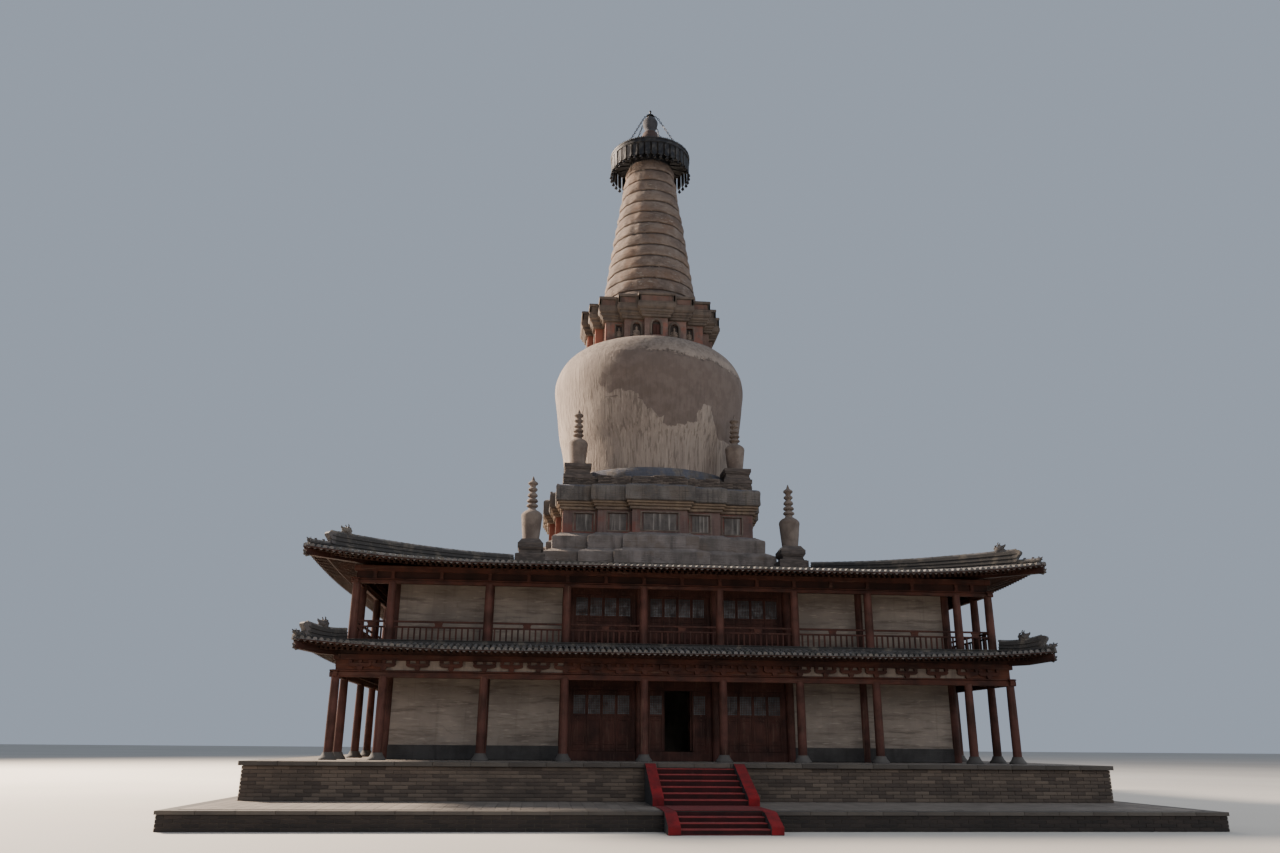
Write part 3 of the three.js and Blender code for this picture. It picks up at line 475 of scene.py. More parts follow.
class Shape:
    """Corners and faces that become the mesh of one piece."""

    def __init__(self):
        self.points, self.faces = [], []

    def skin(self, rings, loop=False):
        """Walls between rings of equal length, closed at both ends or joined into a loop."""
        start, count = len(self.points), len(rings[0])
        for ring in rings:
            self.points.extend(tuple(p) for p in ring)
        for k in range(len(rings) if loop else len(rings) - 1):
            low, high = start + k * count, start + (k + 1) % len(rings) * count
            for i in range(count):
                j = (i + 1) % count
                self.faces.append((low + i, low + j, high + j, high + i))
        if not loop:
            self.faces.append(tuple(range(start + count - 1, start - 1, -1)))
            last = start + (len(rings) - 1) * count
            self.faces.append(tuple(range(last, last + count)))
        return self

    def block(self, side, along, out, z):
        """A box on one side of the plan; each argument is a pair of limits."""
        ring = [(along[0], out[0]), (along[1], out[0]), (along[1], out[1]), (along[0], out[1])]
        return self.skin([[spot(side, a, o, level) for a, o in ring] for level in z])

    def lathe(self, profile, sides, x=0.0, y=0.0, rough=0.0, grain=1.0):
        """A turned form; rough pushes its skin in and out unevenly."""
        rings = []
        for r, z in profile:
            ring = []
            for i in range(sides):
                angle = 2 * math.pi * i / sides
                dx, dy = math.cos(angle), math.sin(angle)
                push = (rough * noise.fractal(Vector((x + dx * r, y + dy * r, z)) * grain, 1.0, 2.0, 4)
                        if rough else 0)
                ring.append((x + dx * (r + push), y + dy * (r + push), z))
            rings.append(ring)
        return self.skin(rings)

    def run(self, path, section, growth=()):
        """A section of (sideways, upwards) points along a path; it stays upright and its height may grow."""
        rings = []
        for k, point in enumerate(path):
            here = Vector(point)
            ahead = Vector(path[min(k + 1, len(path) - 1)]) - Vector(path[max(k - 1, 0)])
            across = ahead.cross(Vector((0, 0, 1)))
            across = across.normalized() if across.length > 1e-6 else Vector((1, 0, 0))
            up = across.cross(ahead).normalized()
            tall = growth[k] if growth else 1.0
            rings.append([here + across * w + up * h * tall for w, h in section])
        return self.skin(rings)


def arc(radius, sides, start=0.0, sweep=2 * math.pi):
    """Points round a circle, or from one end of an arc to the other."""
    return [
        (radius * math.cos(start + sweep * i / sides), radius * math.sin(start + sweep * i / sides))
        for i in range(sides if sweep > 6.28 else sides + 1)
    ]


def bare_object(name, shape, bevel=0.0, smooth=35.0):
    """An object with the shape's mesh: faces point outwards, and sharp edges may get a bevel."""
    mesh = bpy.data.meshes.new(name)
    mesh.from_pydata(shape.points, [], shape.faces)
    work = bmesh.new()
    work.from_mesh(mesh)
    bmesh.ops.recalc_face_normals(work, faces=work.faces)
    if bevel:
        sharp = [e for e in work.edges if len(e.link_faces) == 2 and e.calc_face_angle(0.0) > 0.6]
        bmesh.ops.bevel(
            work, geom=sharp, offset=bevel, offset_type="OFFSET", segments=1,
            affect="EDGES", clamp_overlap=True,
        )
    work.to_mesh(mesh)
    work.free()
    shade(mesh, smooth)
    made = bpy.data.objects.new(name, mesh)
    bpy.context.scene.collection.objects.link(made)
    return made


def shade(mesh, smooth):
    """Smooth shading, except over edges sharper than an angle in degrees."""
    if smooth:
        mesh.polygons.foreach_set("use_smooth", [True] * len(mesh.polygons))
        mesh.set_sharp_from_angle(angle=math.radians(smooth))


def dress(made, finish, body="building", stands_for=()):
    """Gives a piece its finish, its body and the nodes that it stands for."""
    repaint(made.name, finish)
    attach(made, body)
    if stands_for:
        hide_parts(*stands_for)
    return made


def repaint(node, finish):
    """Gives a solid that shows as it is a better material."""
    materials = bpy.data.objects[node].data.materials
    materials.clear()
    materials.append(finish)


def piece(name, shape, finish, slot, body="building", stands_for=(), **cut):
    """A finished piece made from a shape."""
    return dress(bare_object(name, shape, **cut), finish, body, stands_for)


def nodes(start):
    """Names of the solids that begin with some letters."""
    return [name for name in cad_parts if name.startswith(start)]


def geometry_tree(name, wanted):
    """A tree of geometry nodes with the wanted inputs, their identifiers and their wires."""
    tree = bpy.data.node_groups.new(name, "GeometryNodeTree")
    sockets = {}
    for label, kind in wanted:
        made = tree.interface.new_socket(label, in_out="INPUT", socket_type=f"NodeSocket{kind}")
        sockets[label] = made.identifier
    tree.interface.new_socket("Geometry", in_out="OUTPUT", socket_type="NodeSocketGeometry")
    g = Graph(tree)
    start = tree.nodes.new("NodeGroupInput")
    return g, sockets, {label: Wire(g, start.outputs[label]) for label, _ in wanted}


def set_out_tree():
    """Copies of a model on every point, turned and sized by the points, each with a random tint."""
    g, sockets, given = geometry_tree("set_out_copies", (
        ("Points", "Geometry"), ("Model", "Object"), ("Finish", "Material"),
        ("Size Change", "Float"), ("Tilt", "Float"), ("Seed", "Int"),
    ))
    turn = g.node("GeometryNodeInputNamedAttribute", {"data_type": "FLOAT_VECTOR"}, {"Name": "turn"})
    size = g.node("GeometryNodeInputNamedAttribute", {"data_type": "FLOAT_VECTOR"}, {"Name": "size"})
    wobble = g.node(
        "FunctionNodeRandomValue", {"data_type": "FLOAT_VECTOR"},
        {0: (-1.0, -1.0, -1.0), 1: (1.0, 1.0, 1.0), "Seed": given["Seed"]},
    )
    tilt = g.node("ShaderNodeVectorMath", {"operation": "SCALE"}, {0: wobble, "Scale": given["Tilt"]})
    turned = g.node("ShaderNodeVectorMath", {"operation": "ADD"}, {0: turn, 1: tilt})
    stretch = g.node("ShaderNodeVectorMath", {"operation": "SCALE"},
                     {0: wobble, "Scale": given["Size Change"]})
    grown = g.node("ShaderNodeVectorMath", {"operation": "ADD"}, {0: stretch, 1: (1.0, 1.0, 1.0)})
    sized = g.node("ShaderNodeVectorMath", {"operation": "MULTIPLY"}, {0: size, 1: grown})
    model = g.node("GeometryNodeObjectInfo", None, {"Object": given["Model"]}, out="Geometry")
    way = g.node("FunctionNodeEulerToRotation", None, {0: turned})
    copies = g.node(
        "GeometryNodeInstanceOnPoints", None,
        {"Points": given["Points"], "Instance": model, "Rotation": way, "Scale": sized},
    )
    tint = g.node("FunctionNodeRandomValue", {"data_type": "FLOAT"}, {"Seed": given["Seed"]}, out=1)
    marked = g.node(
        "GeometryNodeStoreNamedAttribute", {"data_type": "FLOAT", "domain": "INSTANCE"},
        {"Geometry": copies, "Name": "tint", "Value": tint},
    )
    real = g.node("GeometryNodeRealizeInstances", None, {"Geometry": marked})
    done = g.node("GeometryNodeSetMaterial", None, {"Geometry": real, "Material": given["Finish"]})
    g.feed(g.tree.nodes.new("NodeGroupOutput").inputs[0], done)
    return g.tree, sockets


SET_OUT, SET_OUT_INPUTS = set_out_tree()


def grow(name, mesh, tree, sockets, settings):
    """Runs a tree of geometry nodes on a mesh and keeps what it makes as a plain mesh."""
    made = bpy.data.objects.new(name, mesh)
    bpy.context.scene.collection.objects.link(made)
    modifier = made.modifiers.new("copies", "NODES")
    modifier.node_group = tree
    for label, value in settings.items():
        modifier[sockets[label]] = value
    depsgraph = bpy.context.evaluated_depsgraph_get()
    mesh = bpy.data.meshes.new_from_object(made.evaluated_get(depsgraph))
    made.modifiers.clear()
    made.data = mesh
    return made


def set_out(name, model, places, finish, body="building", size_change=0.0, tilt=0.0, seed=1,
            smooth=35.0, stands_for=()):
    """Copies of a model; each place is (point, turn, size)."""
    cloud = bpy.data.meshes.new(name)
    cloud.from_pydata([place[0] for place in places], [], [])
    for index, label in ((1, "turn"), (2, "size")):
        values = cloud.attributes.new(label, "FLOAT_VECTOR", "POINT")
        values.data.foreach_set("vector", [number for place in places for number in place[index]])
    source = bare_object(name + "_model", model, smooth=0.0)
    settings = {"Model": source, "Finish": finish, "Size Change": size_change, "Tilt": tilt, "Seed": seed}
    made = grow(name, cloud, SET_OUT, SET_OUT_INPUTS, settings)
    bpy.data.objects.remove(source)
    shade(made.data, smooth)
    return dress(made, finish, body, stands_for)


def aim(start, end):
    """The turn that points a model's +Y from start to end, and the distance."""
    d = Vector(end) - Vector(start)
    return (math.atan2(d.z, math.hypot(d.x, d.y)), 0.0, math.atan2(-d.x, d.y)), d.length


def unit_bar(sides, radius=0.5):
    """A bar of length 1 along +Y from the origin."""
    shape = Shape()
    section = arc(radius, sides, math.pi / sides)
    return shape.skin([[(x, y, z) for x, z in section] for y in (0.0, 1.0)])


def chamfered(depth=1.0, edge=0.06):
    """A unit brick whose face looks to -Y, with worn edges; it has no back."""
    shape = Shape()
    rings = []
    for half, y in ((0.5, depth), (0.5, edge), (0.5 - edge, 0.0)):
        rings.append([(-half, y, -half), (half, y, -half), (half, y, half), (-half, y, half)])
    return shape.skin(rings)


def brick_courses(spans, z0, z1, course, length, depth, joint=0.012):
    """Places for bricks in running bond; each span is (side, from, to, out)."""
    places = []
    count = max(1, round((z1 - z0) / course))
    rise = (z1 - z0) / count
    for side, a0, a1, out in spans:
        bricks = max(1, round((a1 - a0) / length))
        pitch = (a1 - a0) / bricks
        for level in range(count):
            cuts = [a0 + pitch * k for k in range(bricks + 1)]
            if level % 2:
                cuts = [a0] + [cut + pitch / 2 for cut in cuts[:-1]] + [a1]
            for left, right in zip(cuts, cuts[1:]):
                point = spot(side, (left + right) / 2, out, z0 + rise * (level + 0.5))
                size = (right - left - joint, depth, rise - joint)
                places.append((point, facing(side), size))
    return places


def paving_places(z, pitch, inside):
    """Square floor bricks wherever inside(x, y) holds."""
    places = []
    reach = int(18 / pitch)
    for i in range(-reach, reach):
        for j in range(-reach, reach):
            x, y = (i + 0.5) * pitch, (j + 0.5) * pitch
            if inside(x, y):
                places.append(((x, y, z), (-math.pi / 2, 0.0, 0.0), (pitch - 0.01, 0.03, pitch - 0.01)))
    return places


def terrace():
    """Low brick terrace with a stone edge and a floor of square bricks."""
    half, front, top = TERRACE_HALF, TERRACE_FRONT, TERRACE_TOP
    body = Shape().block(0, (0.06 - half, half - 0.06), (0.06 - half, front - 0.06), (0.0, top - 0.02))
    piece("terrace_body", body, MORTAR, "brick", stands_for=["lower_terrace"])
    spans = [(0, -half, half, front), (1, -front, half, half), (2, -half, half, half),
             (3, -half, front, half)]
    faces = [(side, a + 0.04, b - 0.04, out - 0.04) for side, a, b, out in spans]
    bricks = brick_courses(faces, 0.0, top - 0.10, course=0.105, length=0.42, depth=0.03)
    set_out("terrace_bricks", chamfered(), bricks, TERRACE_BRICK, size_change=0.004, seed=3)
    edge = brick_courses(spans, top - 0.10, top, course=0.10, length=0.95, depth=0.40, joint=0.008)
    set_out("terrace_edge_stones", chamfered(edge=0.04), edge, COPING_STONE,
            size_change=0.002, seed=4)

    def open_floor(x, y):
        inside = abs(x) < half - 0.4 and -front + 0.4 < y < half - 0.4
        return inside and max(abs(x), abs(y)) > PLATFORM_HALF - 0.1

    set_out("terrace_floor_bricks", chamfered(), paving_places(top, 0.33, open_floor),
            PAVING, seed=5)


def platform():
    """Brick platform with a stone coping, a paved floor and the flared bases of the posts."""
    half, low, top = PLATFORM_HALF, TERRACE_TOP, PLATFORM_TOP
    body = Shape().block(0, (0.03 - half, half - 0.03), (0.03 - half, half - 0.03), (low, top - 0.02))
    piece("platform_body", body, MORTAR, "stone", stands_for=["platform"])
    faces = [(side, -half, half, half) for side in SIDES]
    bricks = brick_courses(faces, low, top - COPING_THICK, course=0.101, length=0.44, depth=0.035)
    set_out("platform_bricks", chamfered(), bricks, PLATFORM_BRICK, size_change=0.006, seed=7)
    reach = half + COPING_OUT
    edge = brick_courses([(side, -reach, reach, reach) for side in SIDES], top - COPING_THICK, top,
                         course=COPING_THICK, length=1.1, depth=0.5, joint=0.008)
    set_out("platform_coping", chamfered(edge=0.04), edge, COPING_STONE, size_change=0.002, seed=8)

    def gallery_floor(x, y):
        return CORE_HALF < max(abs(x), abs(y)) < reach - 0.55

    set_out("platform_floor_bricks", chamfered(), paving_places(top, 0.5, gallery_floor),
            PAVING, seed=9)
    profile = [(0.27, 0.0), (0.275, 0.03), (0.262, 0.06), (0.215, 0.11), (0.182, 0.165),
               (0.168, 0.205), (0.165, 0.22)]
    places = [((x, y, top), *AS_DRAWN) for x, y in gallery_posts(LOWER)]
    set_out("post_bases", Shape().lathe(profile, 20), places, BASE_STONE,
            stands_for=["column_bases"], size_change=0.02, seed=10)


def post_marks(storey):
    """The places of the posts along one side, from corner to corner."""
    lines = (*POST_LINES, storey["line"])
    return sorted({-line for line in lines} | set(lines))


def gallery_posts(storey):
    """Plan positions of all the posts of one storey."""
    spots = {spot(side, along, storey["line"], 0.0)[:2] for along in post_marks(storey) for side in SIDES}
    return sorted(spots)


def stair_line(start, top, foot, risers, tread):
    """The nosing line of a flight as (y, z) points, from the top riser to the floor."""
    rise = (top - foot) / risers
    line = [(start, top - 0.14)]
    for step in range(1, risers):
        line += [(start - (step - 1) * tread, top - step * rise), (start - step * tread, top - step * rise)]
    return line + [(start - (risers - 1) * tread, foot)]


def strip(shape, line, x0, x1, thick):
    """A strip of cloth of even thickness laid over a line of (y, z) points."""
    rings = []
    for k, (y, z) in enumerate(line):
        before, after = line[max(k - 1, 0)], line[min(k + 1, len(line) - 1)]
        normals = []
        for a, b in ((before, (y, z)), ((y, z), after)):
            d = Vector((b[0] - a[0], b[1] - a[1]))
            if d.length > 1e-6:
                normals.append(Vector((d.y, -d.x)).normalized())
        n = sum(normals, Vector((0, 0)))
        n = n / max(n.dot(normals[0]), 0.3)
        rings.append([(x0, y, z), (x1, y, z), (x1, y + n.x * thick, z + n.y * thick),
                      (x0, y + n.x * thick, z + n.y * thick)])
    return shape.skin(rings)


def rounded(line, bend):
    """Cuts each corner of a line so that cloth turns over it in a small curve."""
    soft = [line[0]]
    for before, here, after in zip(line, line[1:], line[2:]):
        for other in (before, after):
            d = Vector(other) - Vector(here)
            soft.append(tuple(Vector(here) + d.normalized() * min(bend, d.length * 0.4)))
    return soft + [line[-1]]


def line_length(line):
    """Length of a line of points."""
    return sum((Vector(b) - Vector(a)).length for a, b in zip(line, line[1:]))


def steps():
    """Two flights of masonry steps with red carpet on their treads and strings."""
    repaint("upper_steps", DADO)
    repaint("lower_steps", DADO)
    flights = (
        ("upper", -PLATFORM_HALF, PLATFORM_TOP, TERRACE_TOP, 7, 0.36, STAIR_HALF),
        ("lower", -TERRACE_FRONT, TERRACE_TOP, 0.0, 4, 0.30, STAIR_HALF - 0.05),
    )
    for name, start, top, foot, risers, tread, half in flights:
        rise = (top - foot) / risers
        line = [(y - 0.004, z + 0.004) for y, z in stair_line(start, top, foot, risers, tread)]
        if name == "upper":
            line = [(start - 0.004, top - COPING_THICK - 0.01)] + line[1:]
            line[-1] = (line[-1][0], foot + 0.012)
            line += [(-TERRACE_FRONT + 0.01, foot + 0.012)]
        else:
            line[0] = (start - 0.004, top - 0.012)
            line[-1] = (line[-1][0], 0.006)
        soft = rounded(line, 0.012)
        inner = half - STRING_WIDTH - 0.012
        carpet = piece(f"{name}_step_carpet", strip(Shape(), soft, -inner, inner, 0.008),
                       STEP_CARPETS[name], "carpeted_stone")
        reach = start - (risers - 1) * tread
        slope = [
            (start - COPING_OUT - 0.02, top - 0.014), (start - COPING_OUT - 0.151, top - 0.014),
            (reach - 0.064, foot + rise + 0.066), (reach - 0.068, foot + 0.008),
        ]
        if name == "lower":
            slope = [(-PLATFORM_HALF - 2.24, top + 0.004), (start - 0.005, top + 0.004), *slope]
        soft = rounded(slope, 0.02)
        for side, where in ((-1, "left"), (1, "right")):
            x = sorted((side * (half + 0.012), side * (half - STRING_WIDTH + 0.003)))
            cover = strip(Shape(), soft, x[0], x[1], 0.008)
            made = piece(f"{name}_string_carpet_{where}", cover, CARPET, "carpeted_stone")


def bracket():
    """A small bracket set: a bearing block, an arm with turned-up ends and three cushion blocks."""
    shape = Shape()

    def plate(outline, y0, y1):
        shape.skin([[(x, y, z) for x, z in outline] for y in (y0, y1)])

    plate([(-0.05, 0.0), (0.05, 0.0), (0.085, 0.035), (0.085, 0.085), (-0.085, 0.085), (-0.085, 0.035)],
          -0.11, 0.0)
    arm = [(-0.36, 0.12), (-0.30, 0.085), (-0.18, 0.075), (0.18, 0.075), (0.30, 0.085),
           (0.36, 0.12), (0.36, 0.165),
           (-0.36, 0.165)]
    plate(arm, -0.085, 0.0)
    for x in (-0.30, 0.0, 0.30):
        block = [(-0.035, 0.165), (0.035, 0.165), (0.06, 0.195), (0.06, 0.235),
                 (-0.06, 0.235), (-0.06, 0.195)]
        plate([(x + a, z) for a, z in block], -0.10, 0.0)
    return shape


def strut():
    """A plain waisted strut between lintel and purlin."""
    shape = Shape()
    outline = [(-0.07, 0.0), (0.07, 0.0), (0.05, 0.06), (0.05, 0.16), (0.075, 0.22), (-0.075, 0.22),
               (-0.05, 0.16), (-0.05, 0.06)]
    return shape.skin([[(x, y, z) for x, z in outline] for y in (-0.08, 0.0)])


def beams():
    """Posts, lintels, frieze boards, brackets and purlins of both storeys."""
    _, b, _, d = POST_LINES
    for name, storey, board in (("lower", LOWER, FRIEZE_BOARD), ("upper", UPPER, DARK_BOARD)):
        line, lintel, above = storey["line"], storey["lintel"], storey["lintel_top"]
        purlin, top = storey["purlin"], storey["top"]
        height = lintel + 0.05 - storey["base"]
        post = Shape().lathe([(0.14, 0.0), (0.141, height * 0.3), (0.136, height * 0.7), (0.128, height)], 20)
        places = [((x, y, storey["base"]), *AS_DRAWN) for x, y in gallery_posts(storey)]
        stands = [f"{name}_colonnade_{side}" for side in SIDE_NAMES]
        set_out(f"{name}_gallery_posts", post, places, RED_UPRIGHT, tilt=0.002, seed=12,
                stands_for=stands)
        timber, frieze, pale, end = Shape(), Shape(), Shape(), line + 0.19
        for side in SIDES:
            timber.block(side, (-end, end), (line - 0.07, line + 0.07), (lintel, above - 0.05))
            timber.block(side, (-end, end), (line - 0.11, line + 0.11), (above - 0.045, above))
            timber.block(side, (0.08 - end, end - 0.08), (line - 0.10, line + 0.10), (purlin, top))
            frieze.block(side, (-line, line), (line - 0.03, line + 0.03), (above, purlin))
            open_bays = ((-d, -b), (b, d)) if side == 0 else ((-d, d),)
            for start, stop in open_bays if name == "lower" else ():
                pale.block(side, (start, stop), (line + 0.02, line + 0.034), (above + 0.002, purlin - 0.002))
        piece(f"{name}_beams", timber, RED_LEVEL, "painted_timber", bevel=0.012)
        piece(f"{name}_frieze_boards", frieze, board, "painted_timber")
        if name == "lower":
            piece("lower_frieze_plaster", pale, FRIEZE_PLASTER, "painted_timber")
        places, marks = [], post_marks(storey)
        high = (purlin - above) / (0.235 if name == "lower" else 0.22)
        for side in SIDES:
            spots = marks[1:-1]
            for left, right in zip(marks, marks[1:]):
                sets = 1 if right - left < 2 or name == "upper" else 2
                spots += [left + (right - left) * (k + 1) / (sets + 1) for k in range(sets)]
            for mark in spots:
                places.append((spot(side, mark, line + 0.03, above), facing(side), (1.0, 1.0, high)))
        model = bracket() if name == "lower" else strut()
        set_out(f"{name}_frieze_brackets", model, places, RED_LEVEL, seed=13, smooth=0.0)


def railings():
    """Flat railings of the upper gallery, with a block between the rails in the middle of each bay."""
    rails, places, blocks = Shape(), [], []
    line, marks = UPPER["line"], post_marks(UPPER)
    for side in SIDES:
        for z0, z1, half in ((RAIL_FOOT - 0.06, RAIL_FOOT, 0.035), (RAIL_MID - 0.055, RAIL_MID, 0.03),
                             (RAIL_TOP - 0.06, RAIL_TOP, 0.035)):
            rails.block(side, (-line, line), (line - half, line + half), (z0, z1))
        for left, right in zip(marks, marks[1:]):
            a, b = left + 0.14, right - 0.14
            count = round((b - a) / 0.19)
            for k in range(count):
                at = a + (b - a) * (k + 0.5) / count
                foot = spot(side, at, line, RAIL_FOOT - 0.02)
                places.append((foot, (math.pi / 2, 0.0, side * math.pi / 2), (0.052, 0.43, 0.036)))
            blocks.append((spot(side, (a + b) / 2, line + 0.025, RAIL_MID - 0.01), facing(side), (1, 1, 1)))
    piece("gallery_rails", rails, RED_DARK, "painted_timber", bevel=0.006)
    set_out("gallery_balusters", unit_bar(4, 0.7071), places, RED_DARK, tilt=0.004,
            seed=15, smooth=0.0)
    block = Shape()
    outline = [(-0.13, 0.0), (0.13, 0.0), (0.11, 0.05), (0.15, 0.14), (-0.15, 0.14), (-0.11, 0.05)]
    block.skin([[(x, y, z) for x, z in outline] for y in (0.0, 0.05)])
    set_out("rail_blocks", block, blocks, RED_LEVEL, seed=16, smooth=0.0)


def deck():
    """Timber floor between the storeys: a frame, joists and wide boards."""
    body, boards, joists = Shape(), [], Shape()
    for side in SIDES:
        for half, z1 in ((DECK_HALF, DECK_TOP - 0.035), (LOWER["line"] + 0.09, DECK_LEDGE)):
            along = half if side % 2 == 0 else CORE_HALF
            body.block(side, (-along, along), (CORE_HALF, half), (LOWER["top"], z1))
        for k in range(23):
            out = CORE_HALF + 0.1074 + 0.2148 * k
            reach = out + 0.10
            count = max(1, round(2 * reach / 3.4))
            for m in range(count):
                middle = -reach + 2 * reach * (m + 0.5) / count
                size = (2 * reach / count - 0.006, 0.035, 0.2088)
                boards.append((spot(side, middle, out, DECK_TOP),
                               (-math.pi / 2, 0.0, side * math.pi / 2), size))
        for k in range(-17, 18):
            joists.block(side, (k * 0.62 - 0.05, k * 0.62 + 0.05),
                         (WALL_LINE + 0.1, LOWER["line"] - 0.08), (4.55, 4.685))
    piece("deck_frame", body, DARK_BOARD, "painted_timber", stands_for=["gallery_deck"])
    set_out("deck_boards", chamfered(edge=0.02), boards, DARK_BOARD,
            size_change=0.001, seed=17)
    piece("deck_joists", joists, RED_DARK, "painted_timber", bevel=0.008)


def walls():
    """Plastered walls of both storeys with their engaged posts, dark foot and head beam."""
    a, b, c, d = POST_LINES
    for name, z0, z1 in (("lower", PLATFORM_TOP, LOWER["top"]), ("upper", DECK_TOP, WALL_TOP)):
        plaster, foot, head, places = Shape(), Shape(), Shape(), []
        for side in SIDES:
            spans = ((-d, -b), (b, d)) if side == 0 else ((-d, d),)
            for a0, a1 in spans:
                ends = (a0 + WALL_HALF, a1 - WALL_HALF) if side % 2 else (a0, a1)
                plaster.block(side, ends, (WALL_LINE - WALL_HALF, WALL_LINE + WALL_HALF), (z0, z1))
                foot.block(side, ends, (WALL_LINE - 0.13, WALL_LINE + 0.13), (z0, z0 + 0.45))
            head.block(side, (-d, d), (WALL_LINE - 0.06, WALL_LINE + 0.125), (z1 - 0.2, z1 - 0.01))
            lines = {b, c, d, -b, -c, -d} | ({a, -a} if side == 0 else set())
            for line in sorted(lines):
                places.append((spot(side, line, WALL_LINE + 0.045, z0), *AS_DRAWN))
        stands = [f"{name}_wall_front_left", f"{name}_wall_front_right", f"{name}_walls_sides_and_back"]
        piece(f"{name}_wall_plaster", plaster, WALL_PLASTER, "plaster", stands_for=stands)
        if name == "lower":
            piece("lower_wall_foot", foot, DADO, "brick", bevel=0.02)
        piece(f"{name}_wall_head_beams", head, RED_LEVEL, "painted_timber", bevel=0.01)
        post = Shape().lathe([(0.14, 0.0), (0.14, (z1 - z0) * 0.6), (0.132, z1 - z0 - 0.012)], 20)
        set_out(f"{name}_wall_posts", post, places, RED_UPRIGHT, seed=18)


class Leaf:
    """One framed leaf: u runs across it, w through it and z upwards; place turns them into a point."""

    def __init__(self, place, width, low, high, lattice, panels, frames, bars, panes):
        self.place = place
        stile = 0.045
        inner = (stile, width - stile)
        for u in ((0.0, stile), (width - stile, width)):
            self.bar(frames, u, (0.0, 0.05), (low, high))
        edges = [low, *[z for opening in (*panels, lattice) for z in opening], high]
        for levels in zip(edges[::2], edges[1::2]):
            self.bar(frames, inner, (0.002, 0.046), levels)
        for z0, z1 in panels:
            self.bar(frames, inner, (0.022, 0.030), (z0, z1))
            if z1 - z0 > 0.3:
                self.bar(frames, (stile + 0.05, width - stile - 0.05), (0.014, 0.038), (z0 + 0.05, z1 - 0.05))
        z0, z1 = lattice
        self.bar(panes, inner, (0.026, 0.032), (z0, z1))
        across, upward = round((width - 2 * stile) / 0.052), round((z1 - z0) / 0.052)
        for k in range(1, across):
            u = stile + (width - 2 * stile) * k / across
            self.bar(bars, (u - 0.005, u + 0.005), (0.008, 0.024), (z0, z1))
        for k in range(1, upward):
            z = z0 + (z1 - z0) * k / upward
            self.bar(bars, inner, (0.010, 0.022), (z - 0.005, z + 0.005))

    def bar(self, shape, u, w, z):
        ring = [(u[0], w[0]), (u[1], w[0]), (u[1], w[1]), (u[0], w[1])]
        shape.skin([[self.place(a, b, level) for a, b in ring] for level in z])


def upright(x0, w0):
    """Places a leaf that is closed in the wall: u runs to the right and w backwards."""
    return lambda u, w, z: (x0 + u, w0 + w, z)


def screens():
    """Fixed lattice leaves of both storeys, their frames and the head and sill of the doorway."""
    frames, bars, panes = Shape(), Shape(), Shape()
    y = -WALL_LINE - 0.03

    def bay(middle, half, floor, sill, head, top, leaves, lattice, panels):
        side, back = half - 2 * LEAF_PITCH, (-y - 0.07, -y + 0.02)
        frames.block(0, (middle - half, middle + half), back, (floor, sill))
        frames.block(0, (middle - half, middle + half), (-y - 0.07, -y - 0.005), (head + 0.1, top))
        frames.block(0, (middle - half, middle + half), back, (head, head + 0.1))
        for a in (middle - half, middle + half - side):
            frames.block(0, (a, a + side), (-y - 0.06, -y), (sill, head))
            frames.block(0, (a + side * 0.2, a + side * 0.8), (-y, -y + 0.012), (sill + 0.12, head - 0.1))
        for k in leaves:
            place = upright(middle - 2 * LEAF_PITCH + LEAF_PITCH * k + 0.003, y)
            Leaf(place, LEAF_WIDTH, sill + 0.005, head - 0.005, lattice, panels, frames, bars, panes)

    low = LOWER_LATTICE, [(1.93, 2.05), (2.11, 2.81), (2.87, 2.94)]
    for middle in (-BAY_MIDDLE, 0.0, BAY_MIDDLE):
        leaves = (0, 3) if middle == 0 else range(4)
        bay(middle, BAY_HALF, PLATFORM_TOP, SCREEN_SILL, DOOR_HEAD, 4.66, leaves, *low)
    high = UPPER_LATTICE, [(5.22, 5.34), (5.40, 6.00), (6.06, 6.14)]
    for middle in (-BAY_MIDDLE, 0.0, BAY_MIDDLE):
        bay(middle, BAY_HALF, DECK_TOP, DECK_TOP + 0.18, 6.90, 7.68, range(4), *high)
    stands = ["lower_screen_left", "lower_screen_right", "door_frame", "upper_screens_front"]
    piece("screen_frames", frames, RED_DARK, "painted_timber", stands_for=stands, bevel=0.004)
    piece("screen_lattice_bars", bars, RED_DARK, "painted_timber", smooth=0.0)
    piece("screen_panes", panes, PANE, "painted_timber", smooth=0.0)


def door_leaves():
    """The two leaves that stand open inwards, each on its own body."""
    inside = -WALL_LINE + 0.06 + LEAF_GAP
    for where, side in (("left", -1), ("right", 1)):
        frames, bars, panes = Shape(), Shape(), Shape()
        x = side * (DOOR_HALF - LEAF_GAP)

        def place(u, w, z):
            return (x - side * (0.055 - w), inside + u, z)

        Leaf(place, DOOR_HALF - 1.5 * LEAF_GAP, DOOR_SILL + LEAF_GAP, DOOR_HEAD - LEAF_GAP, LOWER_LATTICE,
             [(1.95, 2.05), (2.11, 2.81), (2.87, 2.94)], frames, bars, panes)
        for z0, z1 in ((DOOR_SILL + 0.001, DOOR_SILL + 0.06), (DOOR_HEAD - 0.06, DOOR_HEAD - 0.001)):
            pin = [[(x - side * 0.02 + a, inside + 0.02 + b, z) for a, b in arc(0.012, 12)] for z in (z0, z1)]
            frames.skin(pin)
        body = f"{where}_leaf"
        piece(f"door_leaf_{where}_frame", frames, RED_DARK, "painted_timber", body,
              [f"door_leaf_{where}"], bevel=0.003)
        piece(f"door_leaf_{where}_lattice", bars, RED_DARK, "painted_timber", body, smooth=0.0)
        piece(f"door_leaf_{where}_pane", panes, PANE, "painted_timber", body, smooth=0.0)


